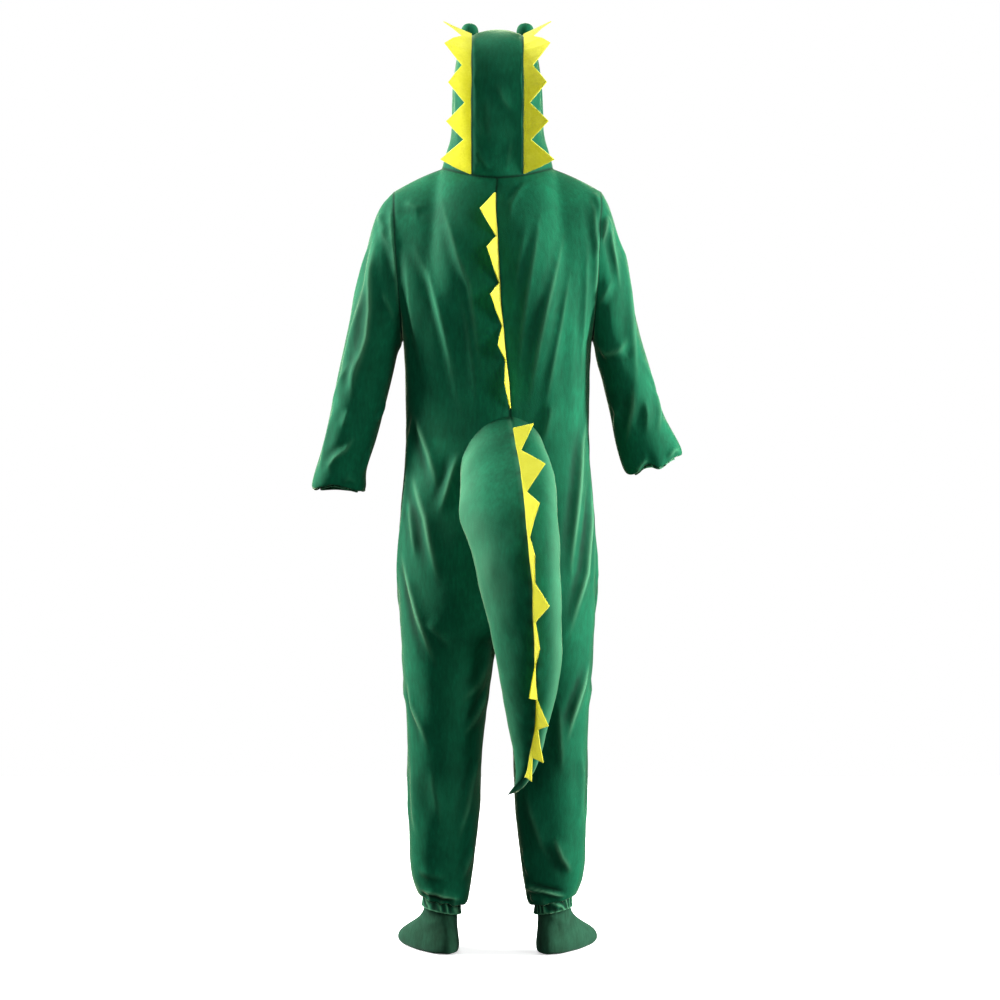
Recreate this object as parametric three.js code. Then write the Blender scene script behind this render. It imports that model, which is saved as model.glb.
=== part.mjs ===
// Dragon costume: a hooded one-piece suit of velour, with felt spikes and a stuffed tail,
// in the hollow form that it has when it is worn.
//
// Millimetres, +Z up. The wearer's left is +X, the front is -Y and the back is +Y.
// Heights in the tables are above the floor that the wearer stands on. The last lines set the
// whole suit down by SHOULDER_HEIGHT, so the origin lies midway between the shoulders.

import * as THREE from 'three';

// ---------------------------------------------------------------- driving sizes

const SHOULDER_HEIGHT = 1500;
const VELOUR = 2;
const FELT = 2;
const SEAM_GAP = 0.3;

const PANEL_COLUMNS = 10;       // from the centre seam or inseam to the side seam or armhole
const NECK_COLUMNS = 5;         // of those, the ones that end on the neckline; the rest end on the shoulder
const ARMHOLE_ROWS = 9;         // from the underarm to the shoulder tip
const UNDERARM_HEIGHT = 1210;
const CROTCH_HEIGHT = 612;
const SQUARENESS = 2.3;         // exponent of the body's rounded sections, 2 being an ellipse

const NECK = { halfWidth: 112, back: 78, front: 88, sideHeight: 1556, backDrop: 27, frontDrop: 56 };
const HOOD_STRIP_HALF = 50;
const STRIP_BULGE = 12;
const HOOD_BACK_ROWS = 16;      // along the seam from the neck to the crown, four to a tooth
const HOOD_TOP_COLUMNS = 8;     // along the seam from the crown to the face, four to a tooth

// ---------------------------------------------------------------- small helpers

const point = (x, y, z) => new THREE.Vector3(x, y, z);
const mix = (a, b, t) => a.clone().lerp(b, t);
const radians = THREE.MathUtils.degToRad;
const range = (count) => Array.from({ length: count }, (_, i) => i);
const rowsOf = (names, ...rows) => rows.map((row) => (
  Object.fromEntries(names.map((name, i) => [name, row[i]]))));

// Reads a table smoothly between its rows, at a value of its key column.
function readTable(rows, key, at) {
  const last = rows.length - 1;
  const found = rows.findIndex((row) => row[key] >= at);
  const b = THREE.MathUtils.clamp(found < 0 ? last : found, 1, last);
  const [low, high] = [rows[b - 1], rows[b]];
  const [before, after] = [rows[Math.max(b - 2, 0)], rows[Math.min(b + 1, last)]];
  const span = high[key] - low[key];
  const t = THREE.MathUtils.clamp((at - low[key]) / span, 0, 1);
  const result = {};
  for (const name of Object.keys(low)) {
    const leave = ((high[name] - before[name]) / (high[key] - before[key])) * span;
    const reach = ((after[name] - low[name]) / (after[key] - low[key])) * span;
    const bend = (low[name] - high[name]) * 2 + leave + reach;
    const ease = (high[name] - low[name]) * 3 - leave * 2 - reach;
    result[name] = ((bend * t + ease) * t + leave) * t + low[name];
  }
  return result;
}

// The soft ridge of one fold: 1 on the line between its two ends, fading over its width.
function ridge(fold, across, height) {
  const [dx, dh] = [fold.x1 - fold.x0, fold.h1 - fold.h0];
  const along = (across - fold.x0) * dx + (height - fold.h0) * dh;
  const t = THREE.MathUtils.clamp(along / (dx * dx + dh * dh), 0, 1);
  const distance = Math.hypot(across - fold.x0 - t * dx, height - fold.h0 - t * dh);
  const swell = Math.sin(Math.PI * (0.12 + 0.76 * t));
  return fold.depth * swell * Math.exp(-((distance / fold.width) ** 2));
}

// ---------------------------------------------------------------- walls of cloth

const pieces = [];

const FINISH = {
  velour: { color: 0x14603f, roughness: 0.9 },
  sock: { color: 0x285640, roughness: 0.95 },
  felt: { color: 0xe6e23c, roughness: 0.95 },
  button: { color: 0x12472f, roughness: 0.4 },
};

// A closed solid from its points and faces, turned so that every face looks outwards.
function addPiece(name, finish, points, faces) {
  let volume = 0;
  for (const [a, b, c] of faces) volume += points[a].dot(points[b].clone().cross(points[c]));
  const turned = volume < 0 ? faces.map(([a, b, c]) => [a, c, b]) : faces;
  const geometry = new THREE.BufferGeometry().setFromPoints(points);
  geometry.setIndex(turned.flat());
  geometry.computeVertexNormals();
  const mesh = new THREE.Mesh(geometry, new THREE.MeshStandardMaterial({ ...FINISH[finish], metalness: 0 }));
  mesh.name = name;
  pieces.push(mesh);
  return mesh;
}

// Faces over a grid of point numbers. A ring's last column joins its first.
function gridFaces(grid, ring) {
  const columns = grid[0].length;
  const faces = [];
  for (const r of range(grid.length - 1)) {
    for (const c of range(ring ? columns : columns - 1)) {
      const n = (c + 1) % columns;
      faces.push([grid[r][c], grid[r][n], grid[r + 1][n]], [grid[r][c], grid[r + 1][n], grid[r + 1][c]]);
    }
  }
  return faces;
}

const turnOver = (faces) => faces.map(([a, b, c]) => [a, c, b]);
const column = (grid, c) => grid.map((row) => row[c]);

// A wall: an outer and an inner grid of points, joined by a rim along each free edge.
// sole: a ring's last row is closed by a fan on each side, as in the foot of a sock.
function addWall(name, finish, outer, inner, { ring = false, sole = null } = {}) {
  const points = [];
  const number = (grid) => grid.map((row) => row.map((p) => points.push(p) - 1));
  const [out, into] = [number(outer), number(inner)];
  const last = out.length - 1;
  const faces = [...gridFaces(out, ring), ...turnOver(gridFaces(into, ring))];
  faces.push(...turnOver(gridFaces([out[0], into[0]], ring)));
  if (sole) {
    const centres = [points.push(sole[0]) - 1, points.push(sole[1]) - 1];
    for (const c of range(out[last].length)) {
      const n = (c + 1) % out[last].length;
      faces.push([out[last][c], out[last][n], centres[0]], [into[last][n], into[last][c], centres[1]]);
    }
  } else {
    faces.push(...gridFaces([out[last], into[last]], ring));
  }
  if (!ring) {
    const end = out[0].length - 1;
    faces.push(...gridFaces([column(out, 0), column(into, 0)], false));
    faces.push(...turnOver(gridFaces([column(out, end), column(into, end)], false)));
  }
  return addPiece(name, finish, points, faces);
}

// A full form, such as a stuffed one: rings of points, closed by a fan at each end.
function addFull(name, finish, rings, start, end) {
  const points = rings.flat();
  const width = rings[0].length;
  const grid = rings.map((ring, r) => ring.map((_, c) => r * width + c));
  const faces = gridFaces(grid, true);
  const [first, last] = [points.push(start) - 1, points.push(end) - 1];
  for (const c of range(width)) {
    const n = (c + 1) % width;
    faces.push([grid[0][n], grid[0][c], first], [grid.at(-1)[c], grid.at(-1)[n], last]);
  }
  return addPiece(name, finish, points, faces);
}

// Normals of a grid of points, pointing away from the middle of each row.
function gridNormals(grid, middles, ring = false) {
  const [rows, columns] = [grid.length, grid[0].length];
  const at = (r, c) => grid[r][ring ? (c + columns) % columns : c];
  const normals = grid.map((row, r) => row.map((_, c) => {
    const across = ring ? at(r, c + 1).clone().sub(at(r, c - 1))
      : at(r, Math.min(c + 1, columns - 1)).clone().sub(at(r, Math.max(c - 1, 0)));
    const along = at(Math.min(r + 1, rows - 1), c).clone().sub(at(Math.max(r - 1, 0), c));
    return across.cross(along).normalize();
  }));
  let agreement = 0;
  grid.forEach((row, r) => row.forEach((p, c) => {
    agreement += normals[r][c].dot(p.clone().sub(middles[r]));
  }));
  if (agreement < 0) normals.flat().forEach((n) => n.negate());
  return normals;
}

const offsetGrid = (grid, normals, distance) =>
  grid.map((row, r) => row.map((p, c) => p.clone().addScaledVector(normals[r][c], distance)));

// Two pieces that meet at a seam get the same normal there, so that their rims lie face to face.
function shareNormal(a, b) {
  const shared = a.clone().add(b).normalize();
  a.copy(shared);
  b.copy(shared);
}

// ---------------------------------------------------------------- body: tables

// Level sections of one half of the body. Above the crotch the centre of a half's section moves to
// the middle of the body. back and front are the y of the section's two extremes.
const BODY = rowsOf(['height', 'outer', 'centre', 'back', 'front', 'tilt'],
  [112, 161, 109.5, 24, -80, 11],
  [132, 169, 111.5, 31, -87, 9],
  [165, 175, 111.5, 38, -91, 5],
  [215, 176, 109, 50, -90, 0],
  [300, 177, 104.5, 65, -87, 0],
  [390, 179, 105, 74, -85, 0],
  [480, 181, 101, 83, -87, 0],
  [540, 187, 99.5, 92, -91, 0],
  [600, 190.5, 97.5, 101, -95, 0],
  [CROTCH_HEIGHT, 190.4, 95.2, 104, -96, 0],
  [640, 192, 80, 112, -99, 0],
  [680, 194, 50, 120, -103, 0],
  [725, 196, 22, 127, -107, 0],
  [775, 196, 6, 133, -110, 0],
  [830, 195, 0, 136, -112, 0],
  [900, 190, 0, 132, -113, 0],
  [960, 184, 0, 122, -114, 0],
  [1020, 182, 0, 113, -115, 0],
  [1080, 182, 0, 108, -116, 0],
  [1150, 183, 0, 112, -119, 0],
  [UNDERARM_HEIGHT, 186.5, 0, 120, -122, 0]);

// The leg's end rolls in under itself to the elastic: from the turned edge to the lowest line.
const LEG_ROLL = rowsOf(['height', 'outer', 'centre', 'back', 'front', 'tilt'],
  [112, 151, 111, 18, -74, 8],
  [103, 156, 110.5, 20, -76, 10]);

const BODY_ROW_HEIGHTS = [112, 132, 165, 210, 255, 305, 355, 405, 455, 505, 555, 600, CROTCH_HEIGHT,
  628, 655, 690, 730, 775, 820, 865, 910, 955, 1000, 1050, 1100, 1155, UNDERARM_HEIGHT];

// The centre seams above the underarm: y at each height.
const CENTRE_BACK = rowsOf(['height', 'y'],
  [1210, 120], [1280, 128], [1350, 130], [1420, 123], [1480, 105], [1529, 78]);
const CENTRE_FRONT = rowsOf(['height', 'y'],
  [1210, -122], [1290, -125], [1370, -120], [1430, -108], [1475, -95], [1500, -88]);

// The tail's weight draws the centre back seam towards the wearer's right at the waist.
const SEAM_DRIFT = rowsOf(['height', 'x'],
  [600, 0], [700, -4], [850, -16], [960, -22], [1060, -25], [1110, -24], [1170, -17], [1250, -9],
  [1310, -5], [1400, 0], [1480, 4], [1529, 0]);

// Folds as soft ridges between two ends, x and height, on the back and on the front.
const FOLD_COLUMNS = ['x0', 'h0', 'x1', 'h1', 'width', 'depth'];
const BACK_FOLDS = rowsOf(FOLD_COLUMNS,
  [150, 1445, 58, 1090, 15, 7], [108, 1420, 30, 1050, 13, 6], [170, 1360, 118, 1010, 15, 7],
  [66, 1380, 14, 1130, 12, 4], [178, 1240, 150, 1000, 14, 5],
  [-58, 1445, -64, 1100, 12, 5], [-92, 1455, -98, 1050, 12, 7], [-132, 1440, -134, 1030, 13, 7],
  [-166, 1350, -160, 1060, 13, 6],
  [182, 960, 96, 800, 17, 7], [188, 850, 76, 690, 19, 8], [160, 1010, 110, 900, 14, 4],
  [-178, 965, -112, 830, 17, 7], [-186, 790, -128, 620, 16, 7], [-184, 640, -120, 420, 15, 6],
  [158, 660, 112, 400, 16, 6], [140, 530, 36, 462, 14, 6], [82, 600, 64, 480, 13, 5],
  [165, 300, 84, 205, 13, 6], [148, 215, 70, 160, 11, 5],
  [-168, 330, -92, 215, 13, 6], [-80, 300, -66, 170, 11, 5], [-150, 225, -80, 165, 11, 4]);
const FRONT_FOLDS = rowsOf(FOLD_COLUMNS,
  [132, 1420, 84, 1100, 14, 6], [168, 1330, 140, 1010, 14, 6], [86, 1330, 56, 1060, 12, 4],
  [-74, 1425, -86, 1080, 13, 6], [-126, 1400, -122, 1050, 14, 6], [-168, 1310, -156, 1040, 13, 5],
  [180, 940, 88, 780, 17, 7], [150, 800, 60, 680, 16, 6],
  [-182, 950, -96, 770, 17, 7], [-158, 780, -70, 670, 15, 6],
  [140, 560, 60, 490, 15, 6], [160, 470, 110, 330, 14, 5], [150, 260, 82, 180, 12, 5],
  [-132, 550, -58, 470, 15, 6], [-166, 450, -116, 310, 14, 5], [-156, 250, -84, 175, 12, 5]);

// ---------------------------------------------------------------- body: shape

const power = (t) => Math.sign(t) * Math.abs(t) ** (2 / SQUARENESS);

// Where a half's section opens: at the centre seam above the crotch, and nowhere on a leg.
function openingAngle(section) {
  const reach = (section.centre - SEAM_GAP / 2) / (section.outer - section.centre);
  return reach >= 1 ? Math.PI : Math.acos(-(Math.max(reach, 0) ** (SQUARENESS / 2)));
}

function sectionPoint(section, angle) {
  const [c, s] = [Math.cos(angle), Math.sin(angle)];
  const x = section.centre + (section.outer - section.centre) * power(c);
  const y = (section.back + section.front) / 2 + ((section.back - section.front) / 2) * power(s);
  return point(x, y, section.height + section.tilt * c);
}

// The neckline at an angle from the side of the neck: 90 degrees is the centre back or front.
function neckPoint(angle, face) {
  const sine = Math.sin(angle);
  const drop = face > 0 ? NECK.backDrop : NECK.frontDrop;
  const reach = face > 0 ? NECK.back : -NECK.front;
  return point(NECK.halfWidth * Math.cos(angle), reach * sine, NECK.sideHeight - drop * sine * sine);
}

const STRIP_ANGLE = Math.acos(HOOD_STRIP_HALF / NECK.halfWidth);
const MID_STRIP_ANGLE = Math.acos(HOOD_STRIP_HALF / 2 / NECK.halfWidth);
const BACK_NECK_ANGLES = [Math.PI / 2, MID_STRIP_ANGLE,
  STRIP_ANGLE, STRIP_ANGLE * (2 / 3), STRIP_ANGLE / 3, 0];
const FRONT_NECK_ANGLES = range(NECK_COLUMNS + 1).map((i) => (Math.PI / 2) * (1 - i / NECK_COLUMNS));

const SHOULDER_CROWN = 3;
const ARMHOLE = { top: point(206, 0, 1511), bottom: point(187, 0, UNDERARM_HEIGHT), depth: 70, middle: 3 };

// A ring of the sleeve, or the armhole: angle 0 is its top and 90 degrees its back.
function ringPoint(ring, angle) {
  const centre = mix(ring.top, ring.bottom, 0.5);
  const half = ring.top.clone().sub(centre);
  const sine = Math.sin(angle);
  const y = ring.depth * sine + ring.middle * sine * sine;
  return centre.addScaledVector(half, Math.cos(angle)).add(point(0, y, 0));
}

// A patch between four edges: rows run from the centre seam to the armhole.
function patch(bottom, top, first, last) {
  const [rows, columns] = [first.length - 1, bottom.length - 1];
  return first.map((_, r) => bottom.map((_, c) => {
    const [u, v] = [c / columns, r / rows];
    const level = mix(bottom[c], top[c], v).add(mix(first[r], last[r], u));
    const corners = mix(mix(bottom[0], bottom[columns], u), mix(top[0], top[columns], u), v);
    return level.sub(corners);
  }));
}

// One panel's surface before its seams, for the left half: face 1 is the back, -1 the front.
function panelSurface(face) {
  const sections = [...LEG_ROLL, ...BODY_ROW_HEIGHTS.map((height) => readTable(BODY, 'height', height))];
  const lower = sections.map((section) => range(PANEL_COLUMNS + 1).map((c) =>
    sectionPoint(section, face * openingAngle(section) * (1 - c / PANEL_COLUMNS))));
  const bottom = lower.at(-1);
  const neck = (face > 0 ? BACK_NECK_ANGLES : FRONT_NECK_ANGLES).map((angle) => neckPoint(angle, face));
  const shoulder = range(PANEL_COLUMNS - NECK_COLUMNS + 1).slice(1)
    .map((i) => i / (PANEL_COLUMNS - NECK_COLUMNS))
    .map((t) => mix(neck.at(-1), ARMHOLE.top, t).add(point(0, 0, SHOULDER_CROWN * Math.sin(Math.PI * t))));
  const top = [...neck, ...shoulder];
  const centre = face > 0 ? CENTRE_BACK : CENTRE_FRONT;
  const seam = range(ARMHOLE_ROWS + 1).map((r) => {
    const height = THREE.MathUtils.lerp(UNDERARM_HEIGHT, top[0].z, r / ARMHOLE_ROWS);
    return point(0, readTable(centre, 'height', height).y, height);
  });
  seam[0].copy(bottom[0]);
  seam[ARMHOLE_ROWS].copy(top[0]);
  const armhole = range(ARMHOLE_ROWS + 1)
    .map((r) => ringPoint(ARMHOLE, face * Math.PI * (1 - r / ARMHOLE_ROWS)));
  armhole[0].copy(bottom.at(-1));
  return [...lower, ...patch(bottom, top, seam, armhole).slice(1)];
}

const LOWER_ROWS = LEG_ROLL.length + BODY_ROW_HEIGHTS.length;
const UNDERARM_ROW = LOWER_ROWS - 1;
const CROTCH_ROW = LEG_ROLL.length + BODY_ROW_HEIGHTS.indexOf(CROTCH_HEIGHT);
const TOP_ROW = UNDERARM_ROW + ARMHOLE_ROWS;

// The middle of the hollow that each row goes round, to tell out from in.
const bodyMiddle = (row) => point(row[0].z < CROTCH_HEIGHT + 40 ? 100 : 0, 0, Math.min(row[0].z, 1400));

// Raises the folds of one face, none of them on the seams that two pieces share.
function raiseFolds(grid, normals, face, side) {
  const folds = face > 0 ? BACK_FOLDS : FRONT_FOLDS;
  return grid.map((row, r) => row.map((p, c) => {
    const nearSide = Math.min(1, (PANEL_COLUMNS - c) / 2.5);
    const nearInseam = r <= CROTCH_ROW ? Math.min(1, c / 2) : 1;
    const nearTop = Math.min(1, (TOP_ROW - r) / 3);
    const nearEnd = Math.min(1, r / 5);
    const rise = folds.reduce((sum, fold) => sum + ridge(fold, side * p.x, p.z), 0);
    return p.clone().addScaledVector(normals[r][c], rise * nearSide * nearInseam * nearTop * nearEnd);
  }));
}

// Draws the centre back seam aside, most at the middle and not at all at the body's sides.
function drift(p) {
  const inner = Math.max(0, 1 - (p.x / 185) ** 2);
  const rear = THREE.MathUtils.smoothstep(p.y, 20, 80);
  return point(p.x + readTable(SEAM_DRIFT, 'height', p.z).x * inner * rear, p.y, p.z);
}

function addBodyHalf(side, sideName) {
  const faces = [1, -1];
  const plain = faces.map((face) => panelSurface(face));
  const grids = faces.map((face, i) =>
    raiseFolds(plain[i], gridNormals(plain[i], plain[i].map(bodyMiddle)), face, side));
  const normals = grids.map((grid) => gridNormals(grid, grid.map(bodyMiddle)));
  const [back, front] = normals;
  for (const r of range(UNDERARM_ROW + 1)) shareNormal(back[r][PANEL_COLUMNS], front[r][PANEL_COLUMNS]);
  for (const r of range(CROTCH_ROW + 1)) shareNormal(back[r][0], front[r][0]);
  for (const c of range(PANEL_COLUMNS + 1).slice(NECK_COLUMNS)) {
    shareNormal(back[TOP_ROW][c], front[TOP_ROW][c]);
  }

  faces.forEach((face, i) => {
    for (const r of range(TOP_ROW + 1)) {
      if (r > CROTCH_ROW) normals[i][r][0].x = Math.min(normals[i][r][0].x, 0);
      const edge = normals[i][r][PANEL_COLUMNS];
      if (r > UNDERARM_ROW) edge.x = Math.max(edge.x, 0);
      normals[i][r][0].normalize();
      edge.normalize();
    }
    const walls = [grids[i], offsetGrid(grids[i], normals[i], -VELOUR)];
    for (const wall of walls) {
      wall.forEach((row, r) => row.forEach((p, c) => {
        const atSide = c === PANEL_COLUMNS && r <= UNDERARM_ROW;
        const atInseam = c === 0 && r <= CROTCH_ROW;
        const atShoulder = r === TOP_ROW && c >= NECK_COLUMNS;
        if (atSide || atInseam || atShoulder) p.y += (face * SEAM_GAP) / 2;
        if (c === PANEL_COLUMNS && r >= UNDERARM_ROW) p.x -= SEAM_GAP / 2;
        if (r === TOP_ROW && c <= NECK_COLUMNS) p.z -= SEAM_GAP / 2;
        p.x = side * Math.max(p.x, SEAM_GAP / 2);
        p.copy(drift(p));
      }));
    }
    addWall(`${face > 0 ? 'back' : 'front'}_${sideName}`, 'velour', walls[0], walls[1]);
  });
}

addBodyHalf(1, 'left');
addBodyHalf(-1, 'right');

// ---------------------------------------------------------------- sleeves and elastic casings

// Rings of a sleeve: x and height of the outer (top) and inner (bottom) ends, half depth and middle y.
const SLEEVE_COLUMNS = ['outX', 'outH', 'inX', 'inH', 'depth', 'middle'];
const SLEEVES = {
  left: rowsOf(SLEEVE_COLUMNS,
    [227, 1491, 188.6, 1206, 69, 3], [243, 1461, 190, 1202, 68, 3], [254, 1420, 192, 1198, 67, 2],
    [266, 1372, 195, 1193, 66, 1], [280, 1313, 198, 1184, 64, 0], [294, 1253, 202, 1164, 62, -2],
    [305, 1205, 208, 1138, 61, -4], [315, 1160, 216, 1108, 60, -7], [324, 1115, 224, 1078, 59, -10],
    [333, 1072, 232, 1048, 57, -13], [343, 1028, 241, 1016, 55, -17], [354, 988, 251, 988, 53, -20],
    [366, 953, 262, 955, 52, -23], [371.5, 928, 259, 927, 49, -25]),
  right: rowsOf(SLEEVE_COLUMNS,
    [218, 1492, 188.6, 1206, 69, 3], [229, 1461, 190, 1202, 68, 3], [240, 1420, 191, 1198, 67, 2],
    [254, 1372, 192, 1193, 66, 1], [265, 1313, 194, 1183, 64, 0], [277, 1253, 198, 1164, 62, -2],
    [290, 1205, 206, 1143, 61, -4], [304, 1160, 212, 1114, 60, -7], [314, 1115, 219, 1088, 59, -10],
    [326, 1078, 226, 1056, 57, -13], [342, 1047, 231, 1022, 55, -17], [359, 1019, 240, 985, 53, -20],
    [370, 997, 250, 956, 49, -23]),
};

// Folds of the sleeves: angle round the arm in degrees (90 is the back, 0 the outer side) and height.
const SLEEVE_FOLDS = {
  left: rowsOf(FOLD_COLUMNS,
    [40, 1400, 70, 1130, 15, 7], [85, 1440, 110, 1180, 13, 6], [130, 1280, 60, 1080, 13, 6],
    [20, 1150, 75, 1000, 13, 6], [110, 1120, 140, 980, 12, 5],
    [-50, 1400, -60, 1150, 15, 6], [-110, 1250, -70, 1070, 13, 6], [-90, 1080, -40, 980, 12, 5]),
  right: rowsOf(FOLD_COLUMNS,
    [35, 1410, 60, 1160, 14, 7], [80, 1430, 105, 1200, 13, 6], [140, 1220, 70, 1130, 13, 7],
    [100, 1130, 30, 1060, 12, 6], [30, 1180, 60, 1060, 12, 4],
    [-45, 1400, -60, 1160, 15, 6], [-120, 1210, -60, 1120, 13, 6], [-90, 1110, -40, 1050, 12, 5]),
};

const ARM_RADIUS = 60;
const SLEEVE_COLUMN_COUNT = 2 * ARMHOLE_ROWS;
const CUFF_WAVES = 18;
const CUFF = { wall: 1.6, wave: 1.4, clearance: 0.4 };

const ringFrom = (row) => ({ top: point(row.outX, 0, row.outH), bottom: point(row.inX, 0, row.inH), ...row });
const ringAxis = (ring) => {
  const across = ring.top.clone().sub(ring.bottom).normalize();
  return ring.axis ?? point(across.z, 0, -across.x);
};

// The same ring made smaller by a scale and moved along the limb.
function shrinkRing(ring, scale, shift) {
  const centre = mix(ring.top, ring.bottom, 0.5);
  const axis = ringAxis(ring);
  const moved = (end) => mix(centre, end, scale).addScaledVector(axis, shift);
  return { ...ring, top: moved(ring.top), bottom: moved(ring.bottom), depth: ring.depth * scale };
}

const levelRingPoint = (ring, angle) => {
  const centre = mix(ring.top, ring.bottom, 0.5);
  const half = ring.top.clone().sub(centre);
  return centre.addScaledVector(half, Math.cos(angle))
    .add(point(0, ring.depth * Math.sin(angle) + ring.middle, 0));
};

const mirror = (side) => (p) => point(side * p.x, p.y, p.z);
const mirrorGrid = (grid, side) => grid.map((row) => row.map(mirror(side)));

// A gathered elastic casing: a short tube of small waves that fits inside a rolled end.
// stations: how far along the limb each of its rows lies, and its scale of the rolled edge.
function addCasing(name, side, edge, stations) {
  const halfLong = edge.top.distanceTo(edge.bottom) / 2;
  const samples = range(2 * CUFF_WAVES).map((i) => (i * Math.PI) / CUFF_WAVES);
  const wallAt = (inset) => stations.map(({ shift, flare }) => samples.map((angle, i) => {
    const crest = i % 2 === 0 ? 0 : 2 * CUFF.wave;
    const trim = CUFF.clearance + crest + inset - flare;
    const smaller = shrinkRing(edge, 1, shift);
    const centre = mix(smaller.top, smaller.bottom, 0.5);
    const long = smaller.top.clone().sub(centre).multiplyScalar(1 - trim / halfLong);
    const y = (smaller.depth - trim) * Math.sin(angle) + smaller.middle;
    return centre.addScaledVector(long, Math.cos(angle)).add(point(0, y, 0));
  }));
  addWall(name, 'velour', mirrorGrid(wallAt(0), side), mirrorGrid(wallAt(CUFF.wall), side), { ring: true });
}

function addSleeve(side, sideName) {
  const rings = SLEEVES[sideName].map(ringFrom);
  const end = rings.at(-1);
  const rolled = [shrinkRing(end, 0.9, 9), shrinkRing(end, 0.7, 1)];
  const angles = range(SLEEVE_COLUMN_COUNT).map((i) => (2 * Math.PI * i) / SLEEVE_COLUMN_COUNT);
  const armhole = angles.map((angle) => ringPoint(ARMHOLE, angle));
  const plain = [armhole, ...[...rings, ...rolled].map((ring) => angles.map((a) => levelRingPoint(ring, a)))];
  const middles = plain.map((row) => mix(row[0], row[ARMHOLE_ROWS], 0.5));
  const smooth = gridNormals(plain, middles, true);
  const onArm = (degrees) => radians(degrees) * ARM_RADIUS;
  const folds = SLEEVE_FOLDS[sideName].map((fold) => ({ ...fold, x0: onArm(fold.x0), x1: onArm(fold.x1) }));
  const folded = plain.map((row, r) => row.map((p, c) => {
    const round = (angles[c] > Math.PI ? angles[c] - 2 * Math.PI : angles[c]) * ARM_RADIUS;
    const fade = Math.min(1, r / 3) * Math.min(1, Math.max(0, (rings.length + 1 - r) / 2));
    const rise = folds.reduce((sum, fold) => sum + ridge(fold, round, p.z), 0);
    return p.clone().addScaledVector(smooth[r][c], rise * fade);
  }));
  const normals = gridNormals(folded, middles, true);
  normals[0].forEach((n) => {
    n.x = Math.min(n.x, 0);
    n.normalize();
  });
  const walls = [folded, offsetGrid(folded, normals, -VELOUR)];
  walls.forEach((wall) => wall[0].forEach((p) => { p.x += SEAM_GAP / 2; }));
  const [outer, inner] = walls.map((wall) => mirrorGrid(wall, side));
  addWall(`sleeve_${sideName}`, 'velour', outer, inner, { ring: true });
  addCasing(`wrist_cuff_${sideName}`, side, rolled.at(-1),
    [{ shift: -12, flare: 0 }, { shift: -1, flare: 0 }, { shift: 9, flare: -0.5 }]);
}

addSleeve(1, 'left');
addSleeve(-1, 'right');

// The leg's turned edge as a ring, for its casing and for the foot cover inside that.
const LEG_EDGE = {
  top: point(LEG_ROLL[0].outer, 0, LEG_ROLL[0].height + LEG_ROLL[0].tilt),
  bottom: point(2 * LEG_ROLL[0].centre - LEG_ROLL[0].outer, 0, LEG_ROLL[0].height - LEG_ROLL[0].tilt),
  depth: (LEG_ROLL[0].back - LEG_ROLL[0].front) / 2,
  middle: (LEG_ROLL[0].back + LEG_ROLL[0].front) / 2,
  axis: point(0, 0, -1),
};

// ---------------------------------------------------------------- foot covers

const TURN_OUT = radians(21);
const FOOT_SIDES = 20;
const FOOT = rowsOf(['height', 'heel', 'toe', 'half'],
  [108, -34, 33, 32], [84, -35, 35, 33], [64, -41, 74, 36], [42, -47, 138, 43], [22, -50, 190, 51],
  [7, -50, 198, 51], [0, -45, 190, 46]);

function addFootCover(side, sideName) {
  const ankle = point(LEG_ROLL[0].centre, LEG_EDGE.middle, 0);
  const ahead = point(Math.sin(TURN_OUT), -Math.cos(TURN_OUT), 0);
  const beside = point(Math.cos(TURN_OUT), Math.sin(TURN_OUT), 0);
  const outer = FOOT.map((level) => range(FOOT_SIDES).map((i) => {
    const angle = (2 * Math.PI * i) / FOOT_SIDES;
    const reach = (level.heel + level.toe) / 2 + ((level.toe - level.heel) / 2) * Math.cos(angle);
    const width = level.half * Math.sin(angle) * (1 + 0.14 * Math.cos(angle));
    return ankle.clone().addScaledVector(ahead, reach).addScaledVector(beside, width).setZ(level.height);
  }));
  const middles = outer.map((row) => mix(row[0], row[FOOT_SIDES / 2], 0.5).setZ(Math.max(row[0].z, 12)));
  const inner = offsetGrid(outer, gridNormals(outer, middles, true), -VELOUR);
  inner.at(-1).forEach((p) => { p.z = VELOUR; });
  const centre = mix(outer.at(-1)[0], outer.at(-1)[FOOT_SIDES / 2], 0.5);
  const sole = [centre, centre.clone().setZ(VELOUR)].map(mirror(side));
  const [over, under] = [outer, inner].map((wall) => mirrorGrid(wall, side));
  addWall(`foot_cover_${sideName}`, 'sock', over, under, { ring: true, sole });
}

for (const [side, sideName] of [[1, 'left'], [-1, 'right']]) {
  addCasing(`ankle_cuff_${sideName}`, side, LEG_EDGE,
    [{ shift: -11, flare: 0 }, { shift: 2, flare: 0 }, { shift: 14, flare: -1 }, { shift: 27, flare: 0.8 }]);
  addFootCover(side, sideName);
}

// ---------------------------------------------------------------- hood

// The seam between the centre strip and a side panel, seen from the side: from the neck to the face.
const HOOD_SEAM = [[70, 1534], [84, 1580], [97, 1640], [102, 1690], [98, 1740], [82, 1780], [50, 1806],
  [8, 1820], [-35, 1815], [-72, 1797], [-96, 1772]];
// The edge of the face opening, from the front of the neck to the end of that seam.
const FACE_EDGE = [[0, -88, 1500], [26, -97, 1545], [56, -102, 1600], [72, -104, 1660], [72, -102, 1720],
  [64, -99, 1752], [HOOD_STRIP_HALF, -96, 1772]];
const HOOD_HALF_WIDTH = { low: 94, high: 82 };
const HOOD_ROUNDNESS = 2.6;

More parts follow.
